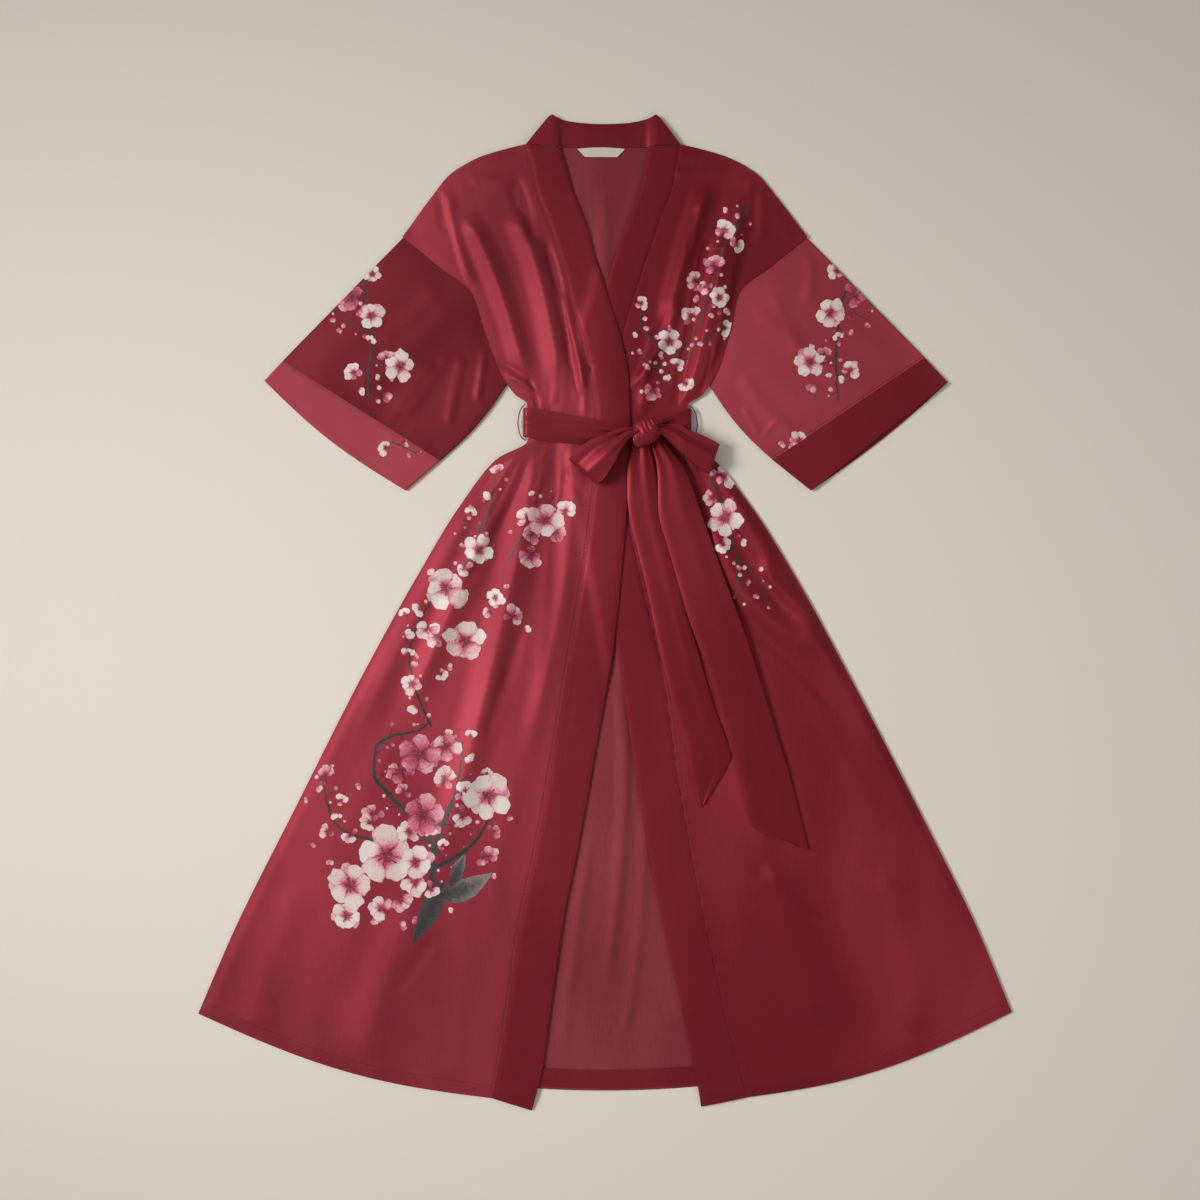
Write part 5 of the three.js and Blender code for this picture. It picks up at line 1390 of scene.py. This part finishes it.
robePieces = [  # piece, node, slot, flat size in metres, cut area, how it lies, what it rests on
    ("back_cloth", "back", "satin_inside", (1.06, 1.22), 0.71, "laid", ["sash_back_cloth"]),
    ("back_hem_fold", "back_hem", "satin", (0.272, 0.024), None, "folded", ["back_cloth"]),
    ("front_right_cloth", "front_right", "satin", (0.43, 1.26), 0.29, "laid", ["back_cloth"]),
    ("front_left_cloth", "front_left", "satin", (0.41, 1.26), 0.275, "laid", ["back_cloth"]),
    ("band_right_cloth", "band_right", "band_satin", (0.048, 1.29), None, "laid", ["back_cloth"]),
    ("band_left_cloth", "band_left", "band_satin", (0.048, 1.29), None, "laid", ["back_cloth"]),
    ("band_neck_cloth", "band_neck", "band_satin", (0.034, 0.20), None, "laid", ["back_cloth"]),
    ("label_tape", "label", "label_tape", (0.062, 0.0125), 0.00065, "laid", ["back_cloth"]),
    ("sleeve_right_cloth", "sleeve_right", "satin", (0.49, 0.20), None, "laid", []),
    ("sleeve_left_cloth", "sleeve_left", "satin", (0.49, 0.20), None, "laid", []),
    ("cuff_right_cloth", "cuff_right", "band_satin", (0.49, 0.05), None, "laid", []),
    ("cuff_left_cloth", "cuff_left", "band_satin", (0.49, 0.05), None, "laid", []),
    ("sash_back_cloth", "sash_back", "band_satin", (0.037, 0.217), None, "laid", []),
    ("sash_front_right_cloth", "sash_front_right", "band_satin", (0.038, 0.17), 0.005, "folded",
     ["front_right_cloth"]),
    ("sash_front_left_cloth", "sash_front_left", "band_satin", (0.037, 0.07), 0.0018, "folded",
     ["front_left_cloth"]),
    ("tail_short_cloth", "tail_short", "band_satin", (0.05, 0.49), 0.0215, "laid", ["front_left_cloth"]),
    ("tail_long_cloth", "tail_long", "band_satin", (0.062, 0.58), 0.0315, "laid", ["front_left_cloth"]),
    ("bow_loop_right_cloth", "bow_loop_right", "band_satin", (0.042, 0.19), 0.0064, "folded",
     ["sash_front_right_cloth"]),
    ("bow_loop_left_cloth", "bow_loop_left", "band_satin", (0.042, 0.18), 0.0056, "folded",
     ["tail_long_cloth"]),
    ("sash_knot_cloth", "sash_knot", "band_satin", (0.036, 0.096), None, "folded",
     ["bow_loop_right_cloth"])]
for name, node, slotName, flat, area, held, restsOn in robePieces:
    piece = cloths[name]
    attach(piece, "root")
    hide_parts(node)
    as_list(restsOn)
for piece, node in ((carrierRight, "carrier_right"), (carrierLeft, "carrier_left")):
    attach(piece, "root")
    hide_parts(node)


# Floor, light and camera

studio = dict(cameraAt=(-6.5, 16.9, 2170), lens=50, clipStart=0.05, floorSize=9, floorZ=-0.4,
              floorGrain=1.11, world="#f1eeea", worldStrength=0.35, lampColour="#fffcfa")
lamps = [  # name, watts, size, place and aim in metres, spread of the beam in degrees
    ("key", 10.6, (1.7, 1.4), (-3.3, 0.5, 2.8), (-0.20, -0.16, 0), 44),
    ("fill", 7, (1.6, 1.6), (1.9, -1.2, 2.2), (0, 0, 0), 180)]


def makeFloor():
    # Matte painted board: pale and warm, with a grain of about 1 mm that hardly shows
    material, tree = newMaterial("paper_board")
    place = addNode(tree, "ShaderNodeTexCoord")
    tone = addNode(tree, "ShaderNodeTexNoise", None, {
        "Vector": place.outputs["Object"], "Scale": 1 / (studio["floorGrain"] * mm), "Detail": 2.0})
    shades = addNode(tree, "ShaderNodeValToRGB", None, {"Fac": tone.outputs["Fac"]})
    shades.color_ramp.elements[0].color = linear("#ebe4da")
    shades.color_ramp.elements[1].color = linear("#f0e9df")
    surface = addNode(tree, "ShaderNodeBsdfPrincipled", None, {
        "Base Color": shades.outputs["Color"], "Roughness": 0.8, "IOR": 1.45, "Specular IOR Level": 0.2})
    addNode(tree, "ShaderNodeOutputMaterial", None, {"Surface": surface.outputs["BSDF"]})
    bm = bmesh.new()
    bmesh.ops.create_grid(bm, x_segments=8, y_segments=8, size=studio["floorSize"] / 2)
    bmesh.ops.translate(bm, verts=bm.verts, vec=(0, 0, studio["floorZ"] * mm))
    newObject("floor", bm, [material], False)


def makeLights(scene):
    world = bpy.data.worlds.new("studio")
    world.use_nodes = True
    sky = world.node_tree.nodes["Background"]
    sky.inputs["Color"].default_value = linear(studio["world"])
    sky.inputs["Strength"].default_value = studio["worldStrength"]
    scene.world = world
    for name, energy, size, at, aim, spread in lamps:
        lamp = bpy.data.lights.new(name, "AREA")
        lamp.shape = "RECTANGLE"
        lamp.size, lamp.size_y = size
        lamp.energy = energy
        lamp.spread = math.radians(spread)
        lamp.color = linear(studio["lampColour"])[:3]
        holder = bpy.data.objects.new(name, lamp)
        holder.location = at
        holder.rotation_euler = (Vector(aim) - Vector(at)).to_track_quat("-Z", "Y").to_euler()
        scene.collection.objects.link(holder)


def makeCamera(scene):
    lens = bpy.data.cameras.new("camera")
    lens.lens = studio["lens"]
    lens.clip_start = studio["clipStart"]
    camera = bpy.data.objects.new("camera", lens)
    camera.location = Vector(studio["cameraAt"]) * mm
    scene.collection.objects.link(camera)
    scene.camera = camera


bpy.context.scene.view_settings.view_transform = "Standard"
makeFloor()
makeLights(bpy.context.scene)
makeCamera(bpy.context.scene)
print("floor, light and camera are set")
